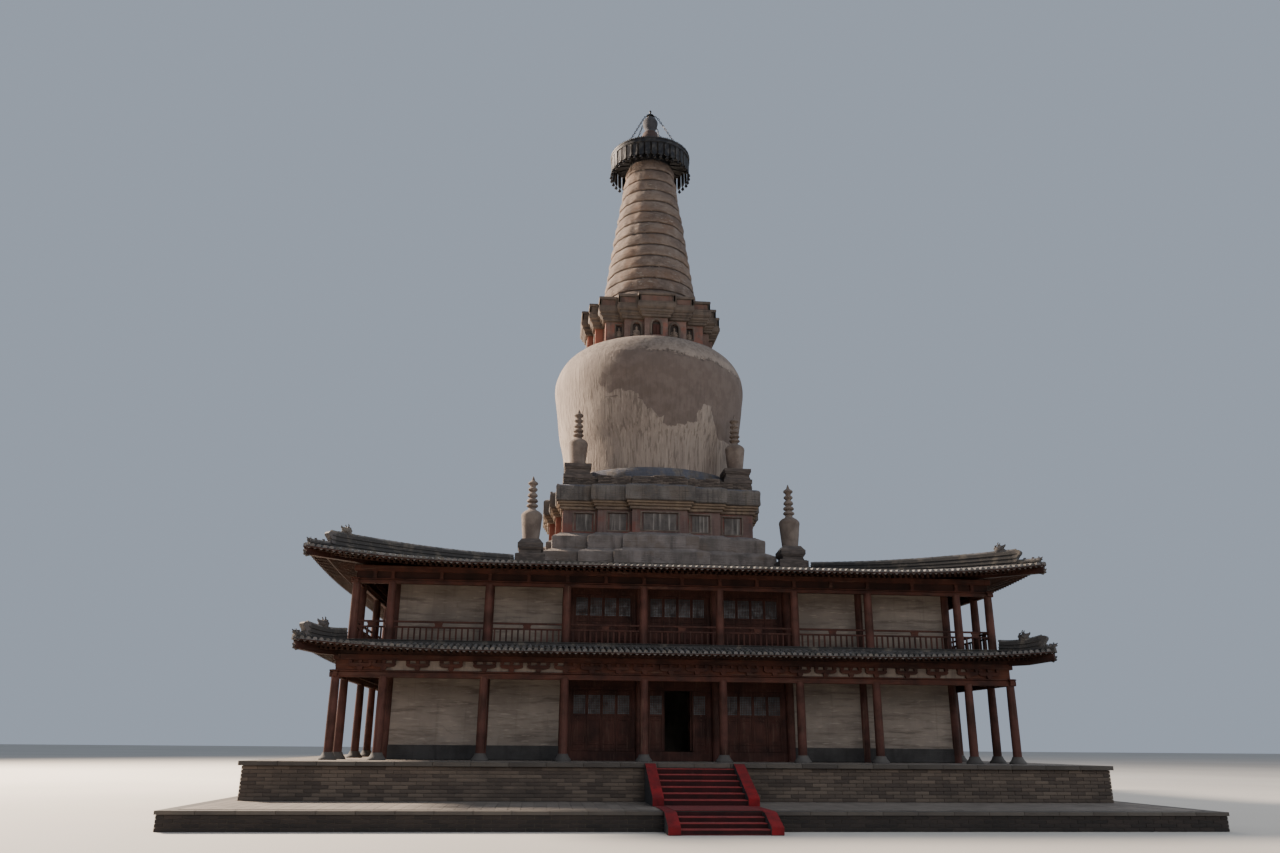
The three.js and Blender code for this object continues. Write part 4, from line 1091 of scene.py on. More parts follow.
def roof_point(form, u, v):
    """A point of a slope: u from -1 to 1 between its corners, v from the eave up to the head."""
    bend = max(0.0, (abs(u) - 0.5) / 0.5) ** 2.2
    out = form["head"] + (form["eave"] - form["head"] + form["push"] * bend) * (1 - v)
    z = form["low"] + (form["high"] - form["low"]) * v + form["lift"] * bend * (1 - v) ** 2
    return u * out, out, z


def on_roof(form, along, v, drop=0.0):
    """A point of a slope at a given distance along it, lowered by drop."""
    u = along / (form["head"] + (form["eave"] - form["head"]) * (1 - v))
    for _ in range(3):
        u = max(-1.0, min(1.0, u))
        here = roof_point(form, u, v)
        u = along / here[1]
    return along, here[1], here[2] - drop


def under_roof(form, along, out, drop):
    """A point under the slope at a given distance along and out."""
    u = max(-1.0, min(1.0, along / out))
    bend = max(0.0, (abs(u) - 0.5) / 0.5) ** 2.2
    v = 1 - (out - form["head"]) / (form["eave"] - form["head"] + form["push"] * bend)
    return along, out, roof_point(form, u, v)[2] - drop


def cover_tile():
    """Half-round tile of length 1 along +Y."""
    ends = ((0.0, 0.066), (1.04, 0.056))
    return Shape().skin([[(x, y, z) for x, z in arc(r, 5, 0.0, math.pi)] for y, r in ends])


def pan_tile():
    """Hollow tile of length 1 along +Y, which lies between two rows of cover tiles."""
    shape = Shape()
    rings = []
    for y, lift in ((-0.03, 0.014), (1.0, 0.0)):
        top = [(-0.095, 0.0), (-0.035, -0.042), (0.035, -0.042), (0.095, 0.0)]
        rings.append([(x, y, z + lift) for x, z in [*top, (0.095, -0.05), (-0.095, -0.05)]])
    return shape.skin(rings)


def end_tile():
    """Round end of a tile row, with a raised rim and boss."""
    shape = Shape()
    profile = ((0.066, 0.03), (0.068, 0.0), (0.055, 0.0), (0.050, 0.008), (0.020, 0.006), (0.012, -0.002))
    return shape.skin([[(x, y, z) for x, z in arc(r, 10)] for r, y in profile])


def drip_tile():
    """Pointed plate at the foot of a row of pan tiles."""
    shape = Shape()
    outline = [(-0.09, 0.0), (-0.045, -0.018), (0.045, -0.018), (0.09, 0.0), (0.062, -0.065),
               (0.0, -0.105), (-0.062, -0.065)]
    return shape.skin([[(x, y, z) for x, z in outline] for y in (0.0, 0.014)])


def roof_tiles(name, form, tile_length):
    """Cover and pan tiles of each side, with the end and drip tiles along the eaves."""
    head, reach = form["head"], form["eave"] + form["push"]
    ends, drips = [], []
    for side in SIDES:
        where = SIDE_NAMES[side]
        covers, pans = [], []
        count = int(reach / TILE_PITCH)
        for k in range(-2 * count, 2 * count + 1):
            along = k * TILE_PITCH / 2
            if abs(along) > reach - 0.05:
                continue
            top = 1.0 if abs(along) <= head else 1 - (abs(along) - head) / (reach - head)
            low = on_roof(form, along, 0.0, 0.03)
            high = on_roof(form, along, top, 0.03)
            span = (Vector(high) - Vector(low)).length
            if span < 0.06:
                continue
            near = on_roof(form, along + 0.05, 0.0)[2] - on_roof(form, along - 0.05, 0.0)[2]
            lean = -math.atan(near / 0.1)
            pieces = max(1, round(span / tile_length))
            for m in range(pieces):
                a = spot(side, *on_roof(form, along, top * m / pieces, 0.03))
                b = spot(side, *on_roof(form, along, top * (m + 1) / pieces, 0.03))
                turn, length = aim(a, b)
                roll = lean * (1 - m / pieces) ** 2
                (pans if k % 2 else covers).append((a, (turn[0], roll, turn[2]), (1.0, length, 1.0)))
            end = spot(side, low[0], low[1] + 0.012, low[2])
            (drips if k % 2 else ends).append((end, (0.0, lean, side * math.pi / 2), (1.0, 1.0, 1.0)))
        stands = [n for n in nodes(name) if n.endswith(where) or n == name]
        set_out(f"{name}_cover_tiles_{where}", cover_tile(), covers, ROOF_TILE,
                tilt=0.006, seed=20 + side)
        set_out(f"{name}_pan_tiles_{where}", pan_tile(), pans, ROOF_TILE,
                tilt=0.004, seed=30 + side, stands_for=stands)
    set_out(f"{name}_end_tiles", end_tile(), ends, ROOF_TILE, tilt=0.03, seed=40)
    set_out(f"{name}_drip_tiles", drip_tile(), drips, ROOF_TILE, tilt=0.04, seed=41, smooth=0.0)


def rafters(name, form, rafter_in):
    """Round rafters and the flying rafters over their ends, which fan out towards the corners."""
    reach = form["eave"] + form["push"]
    rounds, flyers = [], []
    lines = round(2 * reach / TILE_PITCH)
    for side in SIDES:
        for k in range(lines + 1):
            along = -reach + 0.08 + (2 * reach - 0.16) * k / lines
            t = max(0.0, (abs(along) - WALL_LINE) / (reach - WALL_LINE))
            sign = 1 if along > 0 else -1
            inner = sign * (WALL_LINE + t * (reach - WALL_LINE - 0.75)) if t else along
            start = max(rafter_in, abs(inner) + 0.01)
            foot = on_roof(form, along, 0.0)[1]
            for places, drop, cut in ((rounds, 0.205, 0.50), (flyers, 0.125, 0.06)):
                begin = start if places is rounds else max(LOWER["line"] + 0.02, start)
                if foot - cut - begin < 0.1:
                    continue
                ratio = (foot - cut - start) / (foot - start)
                outer = inner + (along - inner) * ratio
                first = inner + (along - inner) * (begin - start) / (foot - start)
                a = spot(side, *under_roof(form, outer, foot - cut, drop))
                b = spot(side, *under_roof(form, first, begin, drop))
                turn, length = aim(a, b)
                places.append((a, turn, (1.0, length, 1.0)))
    set_out(f"{name}_round_rafters", unit_bar(8, 0.047), rounds, EAVE_WOOD,
            seed=42, smooth=50.0)
    set_out(f"{name}_flying_rafters", unit_bar(4, 0.05), flyers, EAVE_WOOD,
            seed=43, smooth=0.0)


def eave_boards(name, form):
    """The boards along the ends of both layers of rafters."""
    boards = Shape()
    for side in SIDES:
        for drop, cut in ((0.095, 0.02), (0.172, 0.47)):
            path = []
            for k in range(41):
                u = math.sin(math.pi / 2 * (-1 + k / 20)) * 0.995
                along, out, _ = roof_point(form, u, 0.0)
                path.append(spot(side, *under_roof(form, along * (out - cut) / out, out - cut, drop)))
            boards.run(path, [(0.0, 0.0), (0.05, 0.0), (0.05, 0.03), (0.0, 0.03)])
    piece(f"{name}_eave_boards", boards, DARK_BOARD, "painted_timber", smooth=0.0)


def roof_bed(name, form):
    """The boarding under the tiles, 0.03 m thick."""
    bed = Shape()
    for side in SIDES:
        rings = []
        for u in (math.sin(math.pi / 2 * (-1 + k / 24)) for k in range(49)):
            slope = [roof_point(form, u, v / 6) for v in range(7)]
            upper = [spot(side, along, out, z - 0.07) for along, out, z in slope]
            under = [spot(side, along, out, z - 0.10) for along, out, z in reversed(slope)]
            rings.append(upper + under)
        bed.skin(rings)
    piece(f"{name}_bed", bed, DARK_BOARD, "painted_timber")


def roof(name, form, tile_length, rafter_in):
    """One tiled roof; its rafters start at rafter_in from the axis."""
    roof_tiles(name, form, tile_length)
    rafters(name, form, rafter_in)
    eave_boards(name, form)
    roof_bed(name, form)


def tube(shape, path, radii, sides=10, squash=1.0):
    """A round form of changing thickness along a path."""
    rings = []
    for k, point in enumerate(path):
        ahead = (Vector(path[min(k + 1, len(path) - 1)]) - Vector(path[max(k - 1, 0)])).normalized()
        side = ahead.cross(Vector((0.02, 0.03, 1.0)) if abs(ahead.z) < 0.9
                           else Vector((1.0, 0.0, 0.0))).normalized()
        up = side.cross(ahead)
        rings.append([Vector(point) + side * a * squash + up * b for a, b in arc(radii[k], sides)])
    return shape.skin(rings)


def beast():
    """A generic thick-set ridge beast that looks along +Y, about 0.5 m tall, with two horns."""
    shape = Shape()
    tube(shape, [(0, -0.20, -0.04), (0, -0.14, 0.08), (0, -0.04, 0.17), (0, 0.08, 0.20), (0, 0.19, 0.18)],
         [0.15, 0.19, 0.19, 0.15, 0.09])
    tube(shape, [(0, 0.06, 0.23), (0, 0.18, 0.25), (0, 0.28, 0.30), (0, 0.31, 0.37)],
         [0.11, 0.085, 0.05, 0.02], 8)
    tube(shape, [(0, 0.03, 0.09), (0, 0.16, 0.06), (0, 0.26, 0.08)], [0.10, 0.07, 0.03], 8)
    tube(shape, [(0, -0.20, 0.12), (0, -0.27, 0.24), (0, -0.22, 0.36), (0, -0.13, 0.40)],
         [0.10, 0.08, 0.05, 0.02], 8)
    for x in (-1, 1):
        tube(shape, [(0.07 * x, 0.0, 0.28), (0.11 * x, -0.04, 0.38), (0.13 * x, -0.02, 0.46),
                     (0.12 * x, 0.03, 0.50)],
             [0.055, 0.045, 0.03, 0.012], 8)
        tube(shape, [(0.13 * x, 0.03, 0.12), (0.19 * x, -0.04, 0.19), (0.18 * x, -0.10, 0.29)],
             [0.07, 0.05, 0.015], 8)
        tube(shape, [(0.09 * x, 0.10, 0.27), (0.10 * x, 0.13, 0.30)], [0.035, 0.015], 8)
    return shape


def small_beast():
    """A small squatting beast for the low part of a hip, 0.17 m tall."""
    shape = Shape().lathe([(0.055, -0.02), (0.075, 0.03), (0.06, 0.08), (0.04, 0.105), (0.048, 0.13),
                           (0.03, 0.16), (0.008, 0.17)], 10)
    return tube(shape, [(0, 0.03, 0.13), (0, 0.075, 0.135), (0, 0.10, 0.15)], [0.03, 0.022, 0.01], 6)


def scroll():
    """The flared end of a tall hip ridge; it leans out along +Y in three rolls."""
    outline = [
        (-0.04, -0.08), (0.05, -0.06), (0.09, 0.02), (0.07, 0.10), (0.11, 0.17), (0.10, 0.25),
        (0.15, 0.33), (0.22, 0.40), (0.24, 0.47), (0.20, 0.53), (0.10, 0.55), (-0.04, 0.53),
    ]
    return Shape().skin([[(x * (1.0 if 0 < y < 0.22 else 0.93), y, z) for y, z in outline]
                         for x in (-0.13, 0.13)])


def hips(name, form, split, seat, inner):
    """Hip ridges in two heights, with cap tiles, scrolls, beasts at seat and corner beams from inner."""
    tall = [
        (0.14, -0.10), (0.14, 0.05), (0.175, 0.055), (0.175, 0.085), (0.115, 0.09),
        (0.115, 0.16), (0.15, 0.165), (0.15, 0.19), (0.11, 0.195), (0.11, 0.27),
        (0.145, 0.275), (0.145, 0.30), (0.10, 0.305), (0.10, 0.37), (0.07, 0.385),
    ]
    short = [(0.11, -0.10), (0.11, 0.03), (0.14, 0.035), (0.14, 0.055), (0.09, 0.06), (0.09, 0.10)]
    ridges, beams, caps, beasts, lumps, scrolls = Shape(), Shape(), [], [], [], []

    def corner(side, v, lift=0.0):
        along, out, z = roof_point(form, 1.0, v)
        return spot(side, along, out, z + lift)

    for side in SIDES:
        for section, v0, v1, cap_z, rise in ((short, 0.02, split, 0.10, 0.0),
                                             (tall, split, 1.0, 0.375, 0.27)):
            shares = [v0 + (v1 - v0) * k / 16 for k in range(17)]
            growth = [1 + rise * max(0.0, 1 - k / 12) ** 1.6 for k in range(17)]
            path = [corner(side, v) for v in shares]
            ridges.run(path, section + [(-w, h) for w, h in reversed(section)], growth)
            per_step = max(1, round(line_length(path) / 0.28 / 16))
            for k in range(16 * per_step):
                ends = []
                for place in (k / per_step, (k + 1) / per_step):
                    low = min(int(place), 15)
                    part = place - low
                    lift = cap_z * (growth[low] * (1 - part) + growth[low + 1] * part)
                    ends.append(corner(side, shares[low] * (1 - part) + shares[low + 1] * part, lift))
                turn, span = aim(*ends)
                caps.append((ends[0], turn, (1.2, span, 1.2)))
        yaw = side * math.pi / 2 - 3 * math.pi / 4
        slope = aim(corner(side, split), corner(side, max(split - 0.1, 0.0)))[0]
        scrolls.append((corner(side, split + 0.01, -0.02), slope, (1.0, 1.0, 0.94)))
        beasts.append((corner(side, *seat), (0.1, 0.0, yaw), (0.66, 0.66, 0.66)))
        for share in (0.45, 0.75):
            lumps.append((corner(side, split * share, 0.12), (0.0, 0.0, yaw), (0.7, 0.7, 0.6)))
        beasts.append((corner(side, 0.02, 0.08), (0.2, 0.0, yaw), (0.3, 0.36, 0.3)))
        out = form["eave"] + form["push"] - 0.06
        drops = ((inner, 0.30), ((inner + out) / 2, 0.25), (out, 0.22))
        path = [spot(side, *under_roof(form, at, at, drop)) for at, drop in drops]
        beams.run(path, [(-0.10, -0.13), (0.10, -0.13), (0.10, 0.11), (-0.10, 0.11)])
        nose = under_roof(form, out, out, 0.22)
        beasts.append((spot(side, nose[0] - 0.02, nose[1] - 0.02, nose[2] - 0.14), (0.1, 0.0, yaw),
                       (0.38, 0.38, 0.42)))
    piece(f"{name}_hip_ridges", ridges, RIDGE_TILE, "roof_tile", smooth=30.0)
    set_out(f"{name}_hip_cap_tiles", cover_tile(), caps, ROOF_TILE, tilt=0.01, seed=50)
    set_out(f"{name}_hip_scrolls", scroll(), scrolls, RIDGE_TILE, seed=52, smooth=30.0)
    set_out(f"{name}_ridge_beasts", beast(), beasts, RIDGE_TILE, seed=51, smooth=60.0)
    set_out(f"{name}_small_beasts", small_beast(), lumps, RIDGE_TILE, tilt=0.05,
            seed=53, smooth=60.0)
    piece(f"{name}_corner_beams", beams, DARK_BOARD, "painted_timber", bevel=0.015)
    head = Shape()
    for side in SIDES:
        half, z = form["head"] + 0.10, form["high"]
        head.block(side, (-half, half), (form["head"] + 0.003, half), (z - 0.04, z + 0.07))
        head.block(side, (-half - 0.02, half + 0.02), (form["head"] + 0.003, half + 0.02),
                   (z + 0.07, z + 0.10))
    piece(f"{name}_head_ridge", head, RIDGE_TILE, "roof_tile", bevel=0.012)


def stepped_outline(plan, out, spacing=0.3):
    """Outline of a square with stepped corners, moved outwards by out and divided evenly."""
    def corners(extra):
        half = [(a + extra, d + extra) for a, d in plan]
        other = [(d, a) for a, d in reversed(half)]
        if half[-1][0] == half[-1][1]:
            other.pop(0)
        chain, quarter = [*half, *other], []
        for index, (x, y) in enumerate(chain):
            quarter.append((x, y))
            if index < len(chain) - 1:
                quarter.append((x, chain[index + 1][1]))
        whole = []
        for turn, (sx, sy) in enumerate(((1, 1), (1, -1), (-1, -1), (-1, 1))):
            whole += [((y if turn % 2 else x) * sx, (x if turn % 2 else y) * sy) for x, y in quarter]
        return whole

    plain, moved, line = corners(0.0), corners(out), []
    for k, (x, y) in enumerate(moved):
        x1, y1 = moved[(k + 1) % len(moved)]
        px, py = plain[k]
        qx, qy = plain[(k + 1) % len(plain)]
        count = max(1, round(math.hypot(qx - px, qy - py) / spacing))
        line += [(x + (x1 - x) * m / count, y + (y1 - y) * m / count) for m in range(count)]
    return line


def worn_stack(plan, levels, rough=0.012, spacing=0.3, rise=0.16, grain=1.6):
    """Stepped-corner courses with a slightly uneven skin; each level is (offset, height)."""
    fine = []
    for (a, z0), (b, z1) in zip(levels, levels[1:]):
        count = max(1, round(math.hypot(b - a, z1 - z0) / rise))
        fine += [(a + (b - a) * k / count, z0 + (z1 - z0) * k / count) for k in range(count)]
    fine.append(levels[-1])
    rings = []
    for out, z in fine:
        ring = []
        for x, y in stepped_outline(plan, out, spacing):
            push = rough * noise.fractal(Vector((x, y, z)) * grain, 1.0, 2.0, 4)
            size = max(abs(x), abs(y))
            ring.append((x + x / size * push, y + y / size * push, z + push * 0.3))
        rings.append(ring)
    return Shape().skin(rings)


def stepped_spans(plan, out):
    """The faces of a stepped-corner outline as (side, from, to, distance from the axis)."""
    chain = [(a + out, d + out) for a, d in plan]
    chain += [(d, a) for a, d in reversed(chain[:-1])]
    spans = []
    for side in SIDES:
        spans.append((side, -chain[0][0], chain[0][0], chain[0][1]))
        for (a0, _), (a1, depth) in zip(chain, chain[1:]):
            spans += [(side, a0, a1, depth), (side, -a1, -a0, depth)]
    return spans


def stepped_base():
    """The stepped-corner base under the dome, course by course."""
    z0, z1, z2, z3, z4, z5, z6 = BASE_LEVELS
    near, middle, far = (depth for _, depth in BASE_PLAN)
    lower = [(0.765, z0), (0.77, 9.245), (0.755, 9.28), (0.43, 9.445), (0.40, z1)]
    piece("base_lower_course_skin", worn_stack(BASE_PLAN, lower, 0.022, 0.22, 0.12, 2.4),
          COURSE_EARTH, "brick",
          stands_for=["base_lower_course"], smooth=12.0)
    upper = [(0.39, z1), (0.40, 9.51), (0.40, 9.945), (0.385, 9.975), (0.11, 10.135), (0.09, z2)]
    piece("base_upper_course_skin", worn_stack(BASE_PLAN, upper, 0.022, 0.22, 0.12, 2.4),
          COURSE_EARTH, "brick",
          stands_for=["base_upper_course"], smooth=12.0)
    repaint("base_waist", RED_WASH_AND_SUNLIT_LEFT)
    panels, rims, low, high = Shape(), Shape(), z2 + 0.12, z3 - 0.12
    places = ((0.0, 0.75, near), (-1.69, 0.415, middle), (1.69, 0.415, middle), (-3.06, 0.405, far),
              (3.06, 0.405, far))
    for side in SIDES:
        for x, half, depth in places:
            panels.block(side, (x - half + 0.09, x + half - 0.07), (depth - 0.069, depth - 0.045),
                         (low + 0.01, high - 0.03))
            for a0, a1, b0, b1 in (
                (x - half - 0.045, x - half + 0.004, low - 0.04, high + 0.05),
                (x - half, x + half, low - 0.04, low + 0.004),
                (x + half - 0.004, x + half + 0.045, low - 0.04, high + 0.05),
                (x - half, x + half, high - 0.004, high + 0.05),
            ):
                rims.block(side, (a0, a1), (depth - 0.02, depth + 0.02), (b0, b1))
    piece("waist_panels", panels, PANEL_GREY, "blue_brick", bevel=0.004)
    piece("waist_panel_rims", rims, RIM_EARTH, "blue_brick", bevel=0.006)
    ledges = [
        (0.02, 0.0), (0.08, 0.012), (0.10, 0.035), (0.10, 0.10), (0.08, 0.12), (0.135, 0.13), (0.165, 0.15),
        (0.17, 0.20), (0.15, 0.228), (0.20, 0.24), (0.225, 0.258), (0.23, 0.31), (0.21, 0.335), (0.22, 0.34),
    ]
    skin = worn_stack(BASE_PLAN, [(out, z3 + up) for out, up in ledges], 0.02, rise=0.12, grain=3.0)
    piece("base_cornice_courses", skin, OCHRE, "ochre_plaster", stands_for=["base_cornice"], smooth=30.0)
    band = [(0.27, z4), (0.30, z4 + 0.04), (0.30, z5 - 0.20), (0.285, z5 - 0.13), (0.235, z5 - 0.07),
            (0.14, z5 - 0.025), (0.06, z5)]
    piece("base_band_skin", worn_stack(BASE_PLAN, band, 0.022, 0.22, 0.12, 2.6), BLUE_PLASTER, "blue_brick",
          stands_for=["base_band"], smooth=14.0)
    body = [(-0.02, z5), (-0.02, z6 + 0.03), (-0.07, z6 + 0.06)]
    piece("base_parapet_core", worn_stack(BASE_PLAN, body, 0.03, 0.2, 0.1, 3.0), WORN_MORTAR, "brick",
          stands_for=["base_parapet"], smooth=30.0)
    whole = brick_courses(stepped_spans(BASE_PLAN, 0.025), z5, z6 + 0.09,
                          course=0.066, length=0.25, depth=0.10, joint=0.014)
    kept = [place for place in whole if noise.noise(Vector(place[0]) * 2.3) > (place[0][2] - z5) * 2.2 - 0.85]
    set_out("parapet_bricks", chamfered(edge=0.12), kept, WORN_BRICK, size_change=0.06,
            tilt=0.035, seed=55)
    ring = [(4.00, z6 - 0.01), (4.015, 12.52), (4.0, 12.78), (3.955, 12.95), (3.88, 13.06)]
    piece("dome_ring_skin", Shape().lathe(ring, 120, rough=0.03, grain=2.0), BLUE_PLASTER, "blue_brick",
          stands_for=["dome_ring"])


def fine_profile(profile, step):
    """More points on a smooth curve through a profile."""
    points = [Vector(p) for p in profile]
    line = []
    for k in range(len(points) - 1):
        a, b = points[k], points[k + 1]
        before, after = points[max(k - 1, 0)], points[min(k + 2, len(points) - 1)]
        count = max(1, round((b - a).length / step))
        for m in range(count):
            t = m / count
            p = 0.5 * (2 * a + (b - before) * t + (2 * before - 5 * a + 4 * b - after) * t * t
                       + (3 * a - before - 3 * b + after) * t ** 3)
            line.append((p.x, p.y))
    return line + [tuple(points[-1])]


def dome():
    """The bottle-shaped body, slightly uneven."""
    profile = fine_profile(DOME_PROFILE, 0.16)
    piece("dome_skin", Shape().lathe(profile, 160, rough=0.025, grain=0.7), DOME_PLASTER, "earth",
          stands_for=["dome"])


def seated_figure():
    """A plain seated figure with a calm, unmarked face, about 0.42 m tall, that looks to -Y."""
    shape = Shape()
    shape.lathe([(0.13, 0.0), (0.15, 0.02), (0.12, 0.05), (0.14, 0.07)], 16)
    tube(shape, [(-0.14, 0.0, 0.10), (-0.08, -0.04, 0.11), (0.08, -0.04, 0.11), (0.14, 0.0, 0.10)],
         [0.03, 0.045, 0.045, 0.03], 8)
    tube(shape, [(0, 0.02, 0.09), (0, 0.02, 0.17), (0, 0.015, 0.25), (0, 0.01, 0.29)],
         [0.085, 0.07, 0.085, 0.035], 12, 1.15)
    tube(shape, [(0, 0.01, 0.28), (0, 0.005, 0.31), (0, 0.0, 0.345), (0, 0.0, 0.385),
                 (0, 0.01, 0.41), (0, 0.01, 0.43)],
         [0.025, 0.04, 0.048, 0.043, 0.02, 0.01], 12, 0.9)
    tube(shape, [(0, -0.046, 0.35), (0, -0.054, 0.335), (0, -0.046, 0.328)], [0.004, 0.007, 0.004], 6)
    for x in (-1, 1):
        tube(shape, [(0.085 * x, 0.01, 0.25), (0.12 * x, 0.0, 0.18), (0.07 * x, -0.07, 0.13),
                     (0.0, -0.085, 0.13)],
             [0.026, 0.026, 0.02, 0.015], 8)
    return shape


def crown():
    """The stepped-corner house over the dome: niches with figures and doors, corbels, panelled frieze."""
    repaint("harmika_wall", CROWN_RED_AND_SUNLIT_LEFT)
    rims, backs, doors, figures, low = Shape(), Shape(), Shape(), [], 19.485
    for side in SIDES:
        for x, half, depth, top in ((0.0, 0.21, 2.95, 20.17), (-0.855, 0.20, 2.64, 20.15),
                                    (0.855, 0.20, 2.64, 20.15)):
            middle = top - half
            path = [(x - half - 0.01, low + (middle - low) * k / 3) for k in range(4)]
            path += [(x + (half + 0.01) * math.cos(a), middle + (half + 0.01) * math.sin(a) ** 1.4 * 1.15)
                     for a in (math.pi * (1 - k / 12) for k in range(1, 12))]
            path += [(x + half + 0.01, middle - (middle - low) * k / 3) for k in range(4)]
            rings = []
            for k, (a, z) in enumerate(path):
                before, after = path[max(k - 1, 0)], path[min(k + 1, len(path) - 1)]
                d = Vector((after[0] - before[0], after[1] - before[1])).normalized()
                ring = []
                for away, out in ((0.03, -0.02), (0.03, 0.04), (-0.02, 0.055), (-0.07, 0.04), (-0.07, -0.02)):
                    ring.append(spot(side, a + d.y * away, depth + out, z - d.x * away))
                rings.append(ring)
            rims.skin(rings)
            backs.block(side, (x - half, x + half), (depth - 0.128, depth - 0.115), (low, top - 0.005))
            if x == 0.0:
                doors.block(side, (-0.16, 0.16), (depth - 0.11, depth - 0.06), (low, 20.0))
                doors.block(side, (-0.005, 0.005), (depth - 0.06, depth - 0.05), (low, 20.0))
                for a in (-0.145, 0.02):
                    doors.block(side, (a, a + 0.125), (depth - 0.06, depth - 0.045), (19.55, 19.92))
            else:
                figures.append((spot(side, x, depth - 0.05, low), facing(side), (1.15, 0.7, 1.2)))
        for x in (-1.615, 1.615):
            backs.block(side, (x - 0.138, x + 0.138), (2.122, 2.132), (19.625, 20.145))
            figures.append((spot(side, x, 2.17, 19.625), facing(side), (0.85, 0.5, 1.0)))
            for a0, a1, z0, z1 in ((-0.20, -0.14, 19.56, 20.21), (0.14, 0.20, 19.56, 20.21),
                                   (-0.14, 0.14, 19.56, 19.62),
                                   (-0.14, 0.14, 20.15, 20.21)):
                rims.block(side, (x + a0, x + a1), (2.22, 2.26), (z0, z1))
    piece("niche_rims", rims, CROWN_EARTH, "earth", bevel=0.006)
    # The niche backs carry painted shade.
    piece("niche_backs", backs, NICHE_BACK_SHADE, "earth")
    piece("niche_doors", doors, RED_DARK, "painted_timber", bevel=0.004)
    set_out("niche_figures", seated_figure(), figures, FIGURE_EARTH, seed=60, smooth=60.0)
    corbels = [
        (0.03, 20.29), (0.12, 20.31), (0.13, 20.36), (0.12, 20.42), (0.16, 20.43),
        (0.17, 20.48), (0.235, 20.53), (0.24, 20.60), (0.23, 20.63), (0.27, 20.64),
        (0.33, 20.72), (0.335, 20.78), (0.335, 20.88), (0.30, 20.91),
    ]
    piece("crown_corbel_courses", worn_stack(CROWN_PLAN, corbels, 0.008, 0.2, 0.08), CROWN_EARTH, "earth",
          stands_for=["harmika_corbels"], smooth=30.0)
    frieze = [(0.29, 20.90), (0.31, 20.92), (0.31, 20.985), (0.25, 20.99), (0.25, 21.28), (0.31, 21.285),
              (0.325, 21.32), (0.325, 21.38), (0.30, 21.42)]
    piece("crown_frieze_skin", worn_stack(CROWN_PLAN, frieze, 0.006, 0.2, 0.1), CROWN_EARTH, "earth",
          stands_for=["harmika_frieze"], smooth=30.0)
    posts, reds = Shape(), Shape()
    for side, a, b, depth in stepped_spans(CROWN_PLAN, 0.30):
        for edge in (a - 0.005, b - 0.095):
            posts.block(side, (edge, edge + 0.10), (depth - 0.08, depth + 0.005), (20.975, 21.29))
        if b - a > 0.5:
            reds.block(side, (a + 0.12, b - 0.12), (depth - 0.07, depth - 0.035), (21.01, 21.26))
    piece("frieze_pilasters", posts, CROWN_EARTH, "earth", bevel=0.008)
    piece("frieze_panels", reds, FRIEZE_RED, "earth", bevel=0.006)


def spire():
    """Thirteen plastered rings with a lip and a long sloping shoulder, uneven and a little chipped."""
    profile, pitch = [], (SPIRE_HIGH - SPIRE_LOW) / RING_COUNT
    for ring in range(RING_COUNT):
        z = SPIRE_LOW + ring * pitch
        r = SPIRE_R0 + (SPIRE_R1 - SPIRE_R0) * ring / RING_COUNT
        for share, inward in ((0.0, 0.10), (0.04, 0.025), (0.10, 0.0), (0.34, 0.0), (0.56, 0.025),
                              (0.75, 0.06), (0.90, 0.11), (0.975, 0.14)):
            profile.append((r - inward, z + share * pitch))
    shape = Shape().lathe(profile + [(SPIRE_R1 - 0.1, SPIRE_HIGH - 0.01)], 112, rough=0.045, grain=2.6)
    piece("ringed_spire_skin", shape, SPIRE_EARTH, "earth", stands_for=["ringed_spire"], smooth=40.0)


def small_bell():
    """A bell on a short wire that hangs from the origin, 0.15 m tall, with its clapper plate."""
    shape = Shape()
    shape.lathe([(0.006, 0.03), (0.006, -0.03), (0.030, -0.035), (0.042, -0.06), (0.046, -0.09),
                 (0.058, -0.115), (0.050, -0.114), (0.03, -0.07)], 8)
    shape.lathe([(0.004, -0.07), (0.004, -0.135), (0.018, -0.14), (0.018, -0.16)], 6)
    return shape


def link():
    """An oval chain link of length 1 along +Y."""
    shape, rings = Shape(), []
    for k in range(10):
        a = 2 * math.pi * k / 10
        middle = Vector((0.24 * math.cos(a), 0.5 + 0.46 * math.sin(a), 0.0))
        away = Vector((math.cos(a), math.sin(a), 0.0))
        rings.append([middle + away * 0.1 * math.cos(b) + Vector((0, 0, 0.1 * math.sin(b)))
                      for b in (0.0, 1.57, 3.14, 4.71)])
    return shape.skin(rings, loop=True)


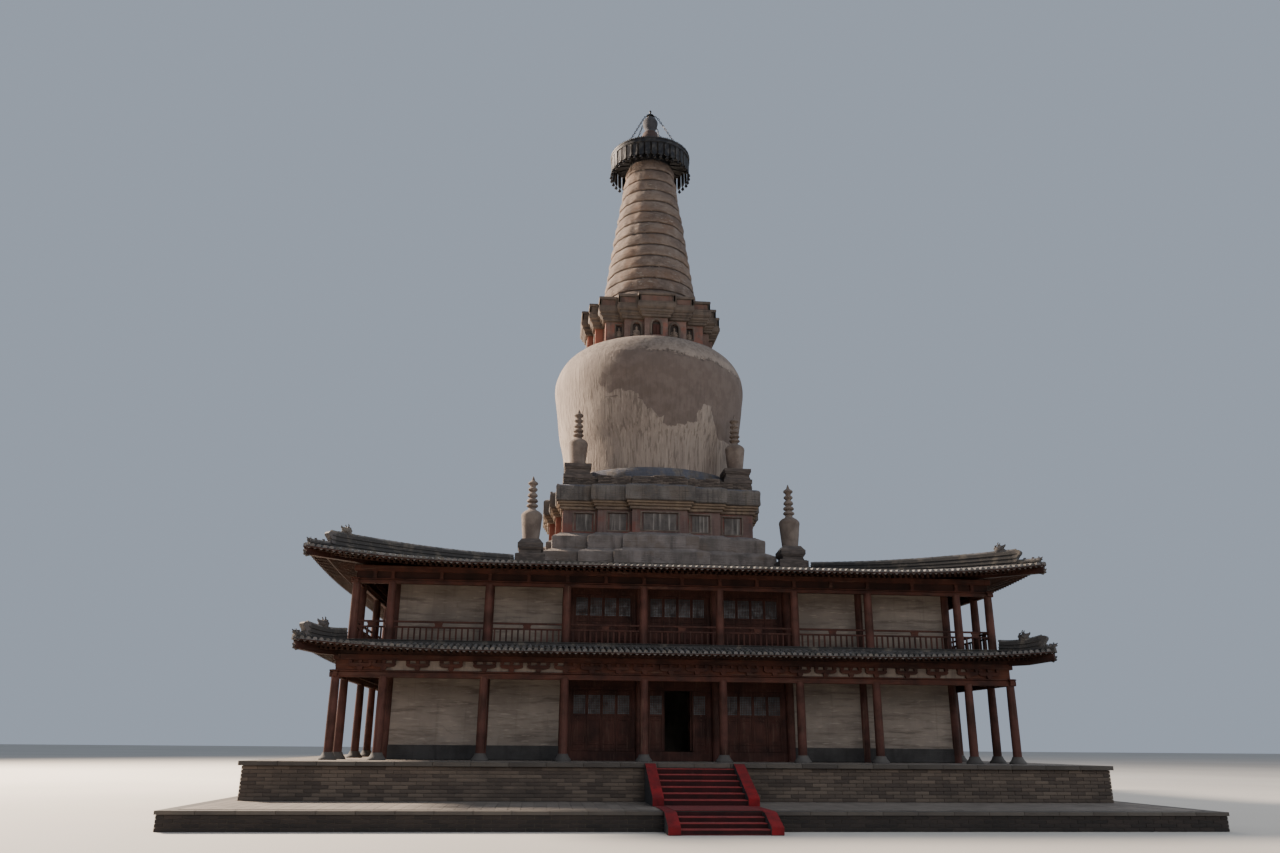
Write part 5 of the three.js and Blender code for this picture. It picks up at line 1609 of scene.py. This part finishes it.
def chain_tree():
    """Links along a path, one after the other, every second one turned on its side."""
    g, sockets, given = geometry_tree("chain_along_path", (
        ("Path", "Geometry"), ("Link", "Object"), ("Finish", "Material"),
        ("Pitch", "Float"), ("Thickness", "Float"),
    ))
    curve = g.node("GeometryNodeMeshToCurve", None, {"Mesh": given["Path"]})
    even = g.node("GeometryNodeResampleCurve", {"mode": "LENGTH"}, {"Curve": curve, "Length": given["Pitch"]})
    tangent = g.node("GeometryNodeInputTangent")
    ahead = g.node("FunctionNodeAlignRotationToVector", {"axis": "Y"}, {"Vector": tangent})
    odd = g.node("ShaderNodeMath", {"operation": "MODULO"}, {0: g.node("GeometryNodeInputIndex"), 1: 2.0})
    quarter = g.node("ShaderNodeCombineXYZ", None, {1: odd * (math.pi / 2)})
    twist = g.node("FunctionNodeEulerToRotation", None, {0: quarter})
    turn = g.node("FunctionNodeRotateRotation", {"rotation_space": "LOCAL"}, {0: ahead, 1: twist})
    model = g.node("GeometryNodeObjectInfo", None, {"Object": given["Link"]}, out="Geometry")
    long = given["Pitch"] * 1.25
    size = g.node("ShaderNodeCombineXYZ", None, {0: given["Thickness"], 1: long, 2: given["Thickness"]})
    copies = g.node("GeometryNodeInstanceOnPoints", None,
                    {"Points": even, "Instance": model, "Rotation": turn, "Scale": size})
    real = g.node("GeometryNodeRealizeInstances", None, {"Geometry": copies})
    done = g.node("GeometryNodeSetMaterial", None, {"Geometry": real, "Material": given["Finish"]})
    g.feed(g.tree.nodes.new("NodeGroupOutput").inputs[0], done)
    return g.tree, sockets


def chains(name, paths, pitch, thickness, stands_for=()):
    """One piece of iron chain that follows each of the paths."""
    tree, sockets = chain_tree()
    points, edges = [], []
    for path in paths:
        edges += [(len(points) + k, len(points) + k + 1) for k in range(len(path) - 1)]
        points += path
    mesh = bpy.data.meshes.new(name)
    mesh.from_pydata(points, edges, [])
    source = bare_object(name + "_link", link(), smooth=0.0)
    settings = {"Link": source, "Finish": IRON, "Pitch": pitch, "Thickness": thickness}
    made = grow(name, mesh, tree, sockets, settings)
    bpy.data.objects.remove(source)
    shade(made.data, 60.0)
    return dress(made, IRON, stands_for=stands_for)


def canopy():
    """Bronze canopy: a ribbed disc with a beaded rim and upright hanging plates, a bell under each."""
    cap = Shape()
    cap.lathe([(1.01, 29.76), (1.02, CANOPY_LOW - 0.02), (CANOPY_RADIUS - 0.10, CANOPY_LOW - 0.03),
               (CANOPY_RADIUS - 0.05, CANOPY_LOW),
               (CANOPY_RADIUS - 0.03, CANOPY_LOW + 0.03), (CANOPY_RADIUS - 0.03, CANOPY_HIGH - 0.02),
               (CANOPY_RADIUS - 0.11, CANOPY_HIGH + 0.02),
               (1.5, 30.62), (1.1, 30.84), (0.75, 31.05), (0.60, 31.18), (0.40, 31.195)], 96)
    piece("canopy_shell", cap, BRONZE, "bronze", stands_for=["canopy"], smooth=30.0)
    plate, count, half = Shape(), 38, 0.125
    high, foot = CANOPY_LOW + 0.10, PLATE_FOOT
    outline = [(-half, high), (-half, foot + 0.11), (-half * 0.85, foot + 0.035), (-half * 0.5, foot),
               (half * 0.5, foot),
               (half * 0.85, foot + 0.035), (half, foot + 0.11), (half, high)]
    rings = []
    for inset, y in ((0.0, 0.022), (0.0, 0.0), (0.018, 0.0), (0.026, 0.008)):
        rings.append([(x * (1 - inset / half), y, high - (high - z) * (1 - inset / 0.4)) for x, z in outline])
    plate.skin([[(x, y, z - foot) for x, y, z in ring] for ring in rings])
    plates, beads, bells, ribs, hoops = [], [], [], Shape(), Shape()

    def around(k, count, r, z, size=(1, 1, 1)):
        a = 2 * math.pi * k / count
        return (math.sin(a) * r, -math.cos(a) * r, z), (0, 0, a), size

    for k in range(count):
        plates.append(around(k, count, CANOPY_RADIUS - 0.035, foot))
        bells.append(around(k, count, CANOPY_RADIUS - 0.035, foot - 0.01, (1.5, 1.5, 1.5)))
    set_out("canopy_plates", plate, plates, BRONZE, tilt=0.025, seed=70, smooth=30.0)
    set_out("canopy_plate_bells", small_bell(), bells, BRONZE, tilt=0.08, seed=72, smooth=60.0)
    for k in range(114):
        beads.append(around(k, 114, CANOPY_RADIUS - 0.03, CANOPY_HIGH + 0.02,
                            (1, 1, 1.5 if k % 3 == 0 else 1.0)))
    bead = Shape().lathe([(0.012, -0.03), (0.030, -0.012), (0.034, 0.012), (0.022, 0.035), (0.006, 0.045)], 8)
    set_out("canopy_rim_beads", bead, beads, BRONZE, seed=71, smooth=60.0)
    for z, r, thick in ((CANOPY_HIGH - 0.02, CANOPY_RADIUS - 0.025, 0.035),
                        (CANOPY_LOW + 0.04, CANOPY_RADIUS - 0.02, 0.025)):
        rings = []
        for k in range(96):
            ring = [around(k, 96, r + thick * math.cos(b), z + thick * math.sin(b))[0]
                    for b in (math.pi * m / 3 for m in range(6))]
            rings.append(ring)
        hoops.skin(rings, loop=True)
    piece("canopy_hoops", hoops, BRONZE, "bronze", smooth=60.0)
    for k in range(24):
        line = ((1.90, 30.44), (1.5, 30.62), (1.1, 30.84), (0.75, 31.05), (0.6, 31.17))
        ribs.run([around(k, 24, r, z)[0] for r, z in line],
                 [(-0.03, -0.02), (0.03, -0.02), (0.018, 0.025), (-0.018, 0.025)])
        line = ((1.04, CANOPY_LOW - 0.035), (1.5, CANOPY_LOW - 0.04), (1.87, CANOPY_LOW - 0.035))
        ribs.run([around(k, 24, r, z)[0] for r, z in line],
                 [(-0.025, -0.03), (0.025, -0.03), (0.025, 0.02), (-0.025, 0.02)])
    piece("canopy_ribs", ribs, BRONZE, "bronze", bevel=0.004)


def finial():
    """Plaster vase over the canopy, its metal tip, and the four stay chains."""
    vase = fine_profile(
        [(0.495, 31.18), (0.50, 31.24), (0.50, 31.55), (0.45, 31.70), (0.40, 31.80), (0.385, 31.89),
         (0.31, 31.99), (0.26, 32.06), (0.25, 32.13), (0.29, 32.22),
         (0.343, 32.33), (0.38, 32.50), (0.375, 32.62), (0.30, 32.76),
         (0.19, 32.89), (0.10, 32.98)], 0.05)
    piece("finial_vase_skin", Shape().lathe(vase, 48, rough=0.01, grain=4.0), VASE_PLASTER, "earth",
          stands_for=["finial_vase"])
    tip = Shape().lathe([(0.125, 32.955), (0.13, 32.975), (0.08, 33.01), (0.042, 33.06), (0.036, 33.18),
                         (0.045, 33.22), (0.062, 33.26),
                         (0.062, 33.30), (0.040, 33.33), (0.01, 33.368)], 24)
    tip.lathe([(0.12, 32.99), (0.19, 32.99), (0.19, 33.03), (0.12, 33.03)], 24)
    piece("finial_tip", tip, IRON, "bronze", smooth=40.0)
    paths = []
    for k in SIDES:
        a = math.pi / 4 + k * math.pi / 2
        line = [(0.17, 33.0), (0.30, 32.85), (0.42, 32.73), (0.50, 32.63), (0.80, 32.11),
                (1.20, 31.40), (1.62, 30.66)]
        paths.append([(r * math.cos(a), r * math.sin(a), z) for r, z in line])
    chains("canopy_stay_chains", paths, 0.15, 0.16, stands_for=["canopy_stays"])


MINI_OUTLINE = (
    (0.010, 0.0), (0.030, 0.05), (0.055, 0.12), (0.070, 0.17), (0.120, 0.21),
    (0.180, 0.25), (0.200, 0.29), (0.185, 0.33), (0.125, 0.37), (0.105, 0.42),
    (0.110, 0.46), (0.160, 0.49), (0.188, 0.53), (0.180, 0.57), (0.130, 0.61),
    (0.104, 0.64), (0.106, 0.67), (0.160, 0.71), (0.196, 0.765), (0.192, 0.815),
    (0.140, 0.855), (0.116, 0.88), (0.120, 0.90), (0.180, 0.935), (0.218, 0.985),
    (0.214, 1.03), (0.160, 1.065), (0.128, 1.09), (0.134, 1.11), (0.195, 1.14),
    (0.228, 1.185), (0.222, 1.225), (0.175, 1.26), (0.140, 1.285), (0.150, 1.34),
    (0.215, 1.39), (0.30, 1.435), (0.370, 1.50), (0.406, 1.56), (0.412, 1.63),
    (0.400, 1.75), (0.370, 2.10), (0.318, 2.56), (0.318, 2.585),
)


def small_stupas():
    """Eight small stupas on the corners: block, flared neck, slab, tapering vase, four rings and cap."""
    for ring, at, foot, block, wide, thin, slab_foot, slab_top, slab, top, tip in (
        ("outer", 5.145, 8.70, 8.99, 0.575, 0.41, 9.23, 9.40, 0.49, 9.58, 12.15),
        ("inner", 3.355, 12.48, 12.68, 0.595, 0.50, 12.98, 13.12, 0.565, 13.16, 15.65),
    ):
        scale = (tip - top) / 2.56
        squares = (
            (wide, foot, wide, block - 0.03), (wide - 0.03, block - 0.03, wide - 0.06, block),
            (thin + 0.025, block, thin + 0.025, block + 0.07),
            (thin, block + 0.07, thin, slab_foot - 0.08),
            (thin + 0.03, slab_foot - 0.08, slab - 0.015, slab_foot),
            (slab, slab_foot, slab, slab_top), (slab - 0.015, slab_top, 0.345, top),
        )
        for where, sx, sy in (("front_left", -1, -1), ("front_right", 1, -1), ("back_left", -1, 1),
                              ("back_right", 1, 1)):
            x, y = sx * at, sy * at
            shape = Shape()
            for low_half, z0, high_half, z1 in squares:
                shape.skin([[(x + a * h, y + b * h, z) for a, b in ((-1, -1), (1, -1), (1, 1), (-1, 1))]
                            for h, z in ((low_half, z0), (high_half, z1))])
            shape.lathe([(r, tip - down * scale) for r, down in reversed(MINI_OUTLINE)], 32, x, y, 0.008, 5.0)
            node = f"{ring}_stupa_{where}"
            piece(f"{node}_skin", shape, MINI_EARTH, "earth", stands_for=[node], smooth=42.0)


def studio():
    """Pale floor, pale surroundings and soft lights."""
    floor = Shape().skin([[(-400, -400, z), (400, -400, z), (400, 400, z), (-400, 400, z)]
                          for z in (-0.5, 0.0)])
    ground = bare_object("studio_floor", floor)
    f = Finish("pale_floor")
    ground.data.materials.append(f.surface(f.blend(f.mask(f.noise(0.05), 0.3, 0.7), "b3aea6", "bdb8b0"), 0.9))
    world = bpy.data.worlds.new("soft_sky")
    world.use_nodes = True
    background = world.node_tree.nodes["Background"]
    background.inputs["Color"].default_value = (0.66, 0.76, 0.92, 1.0)
    background.inputs["Strength"].default_value = 0.50
    bpy.context.scene.world = world
    lights = (
        ("key", (-61, 29, 49), 14.0, (1.0, 0.83, 0.67), 320000),
        ("front", (10, -75, 35), 40.0, (1.0, 0.97, 0.95), 15000),
        ("right", (70, -20, 40), 40.0, (0.9, 0.95, 1.0), 14000),
        ("back", (10, 70, 50), 40.0, (1.0, 0.95, 0.9), 36000),
    )
    for name, place, size, colour, power in lights:
        lamp = bpy.data.lights.new(name, "AREA")
        lamp.shape, lamp.size, lamp.energy, lamp.color = "DISK", size, power, colour
        made = bpy.data.objects.new(name, lamp)
        made.location = place
        made.rotation_euler = (Vector((0, 0, 12)) - Vector(place)).to_track_quat("-Z", "Y").to_euler()
        bpy.context.scene.collection.objects.link(made)


set_camera()
studio()
repaint("masonry_core", MORTAR)
repaint("roof_terrace", COPING_STONE)
terrace()
platform()
steps()
beams()
railings()
deck()
walls()
screens()
door_leaves()
roof("lower_roof", LOWER_ROOF, 0.28, DECK_HALF + 0.01)
roof("upper_roof", UPPER_ROOF, 0.30, 9.55)
hips("lower_roof", LOWER_ROOF, 0.22, (0.52, 0.42), DECK_HALF + 0.01)
hips("upper_roof", UPPER_ROOF, 0.105, (0.165, 0.48), WALL_LINE)
stepped_base()
dome()
crown()
spire()
canopy()
finial()
small_stupas()
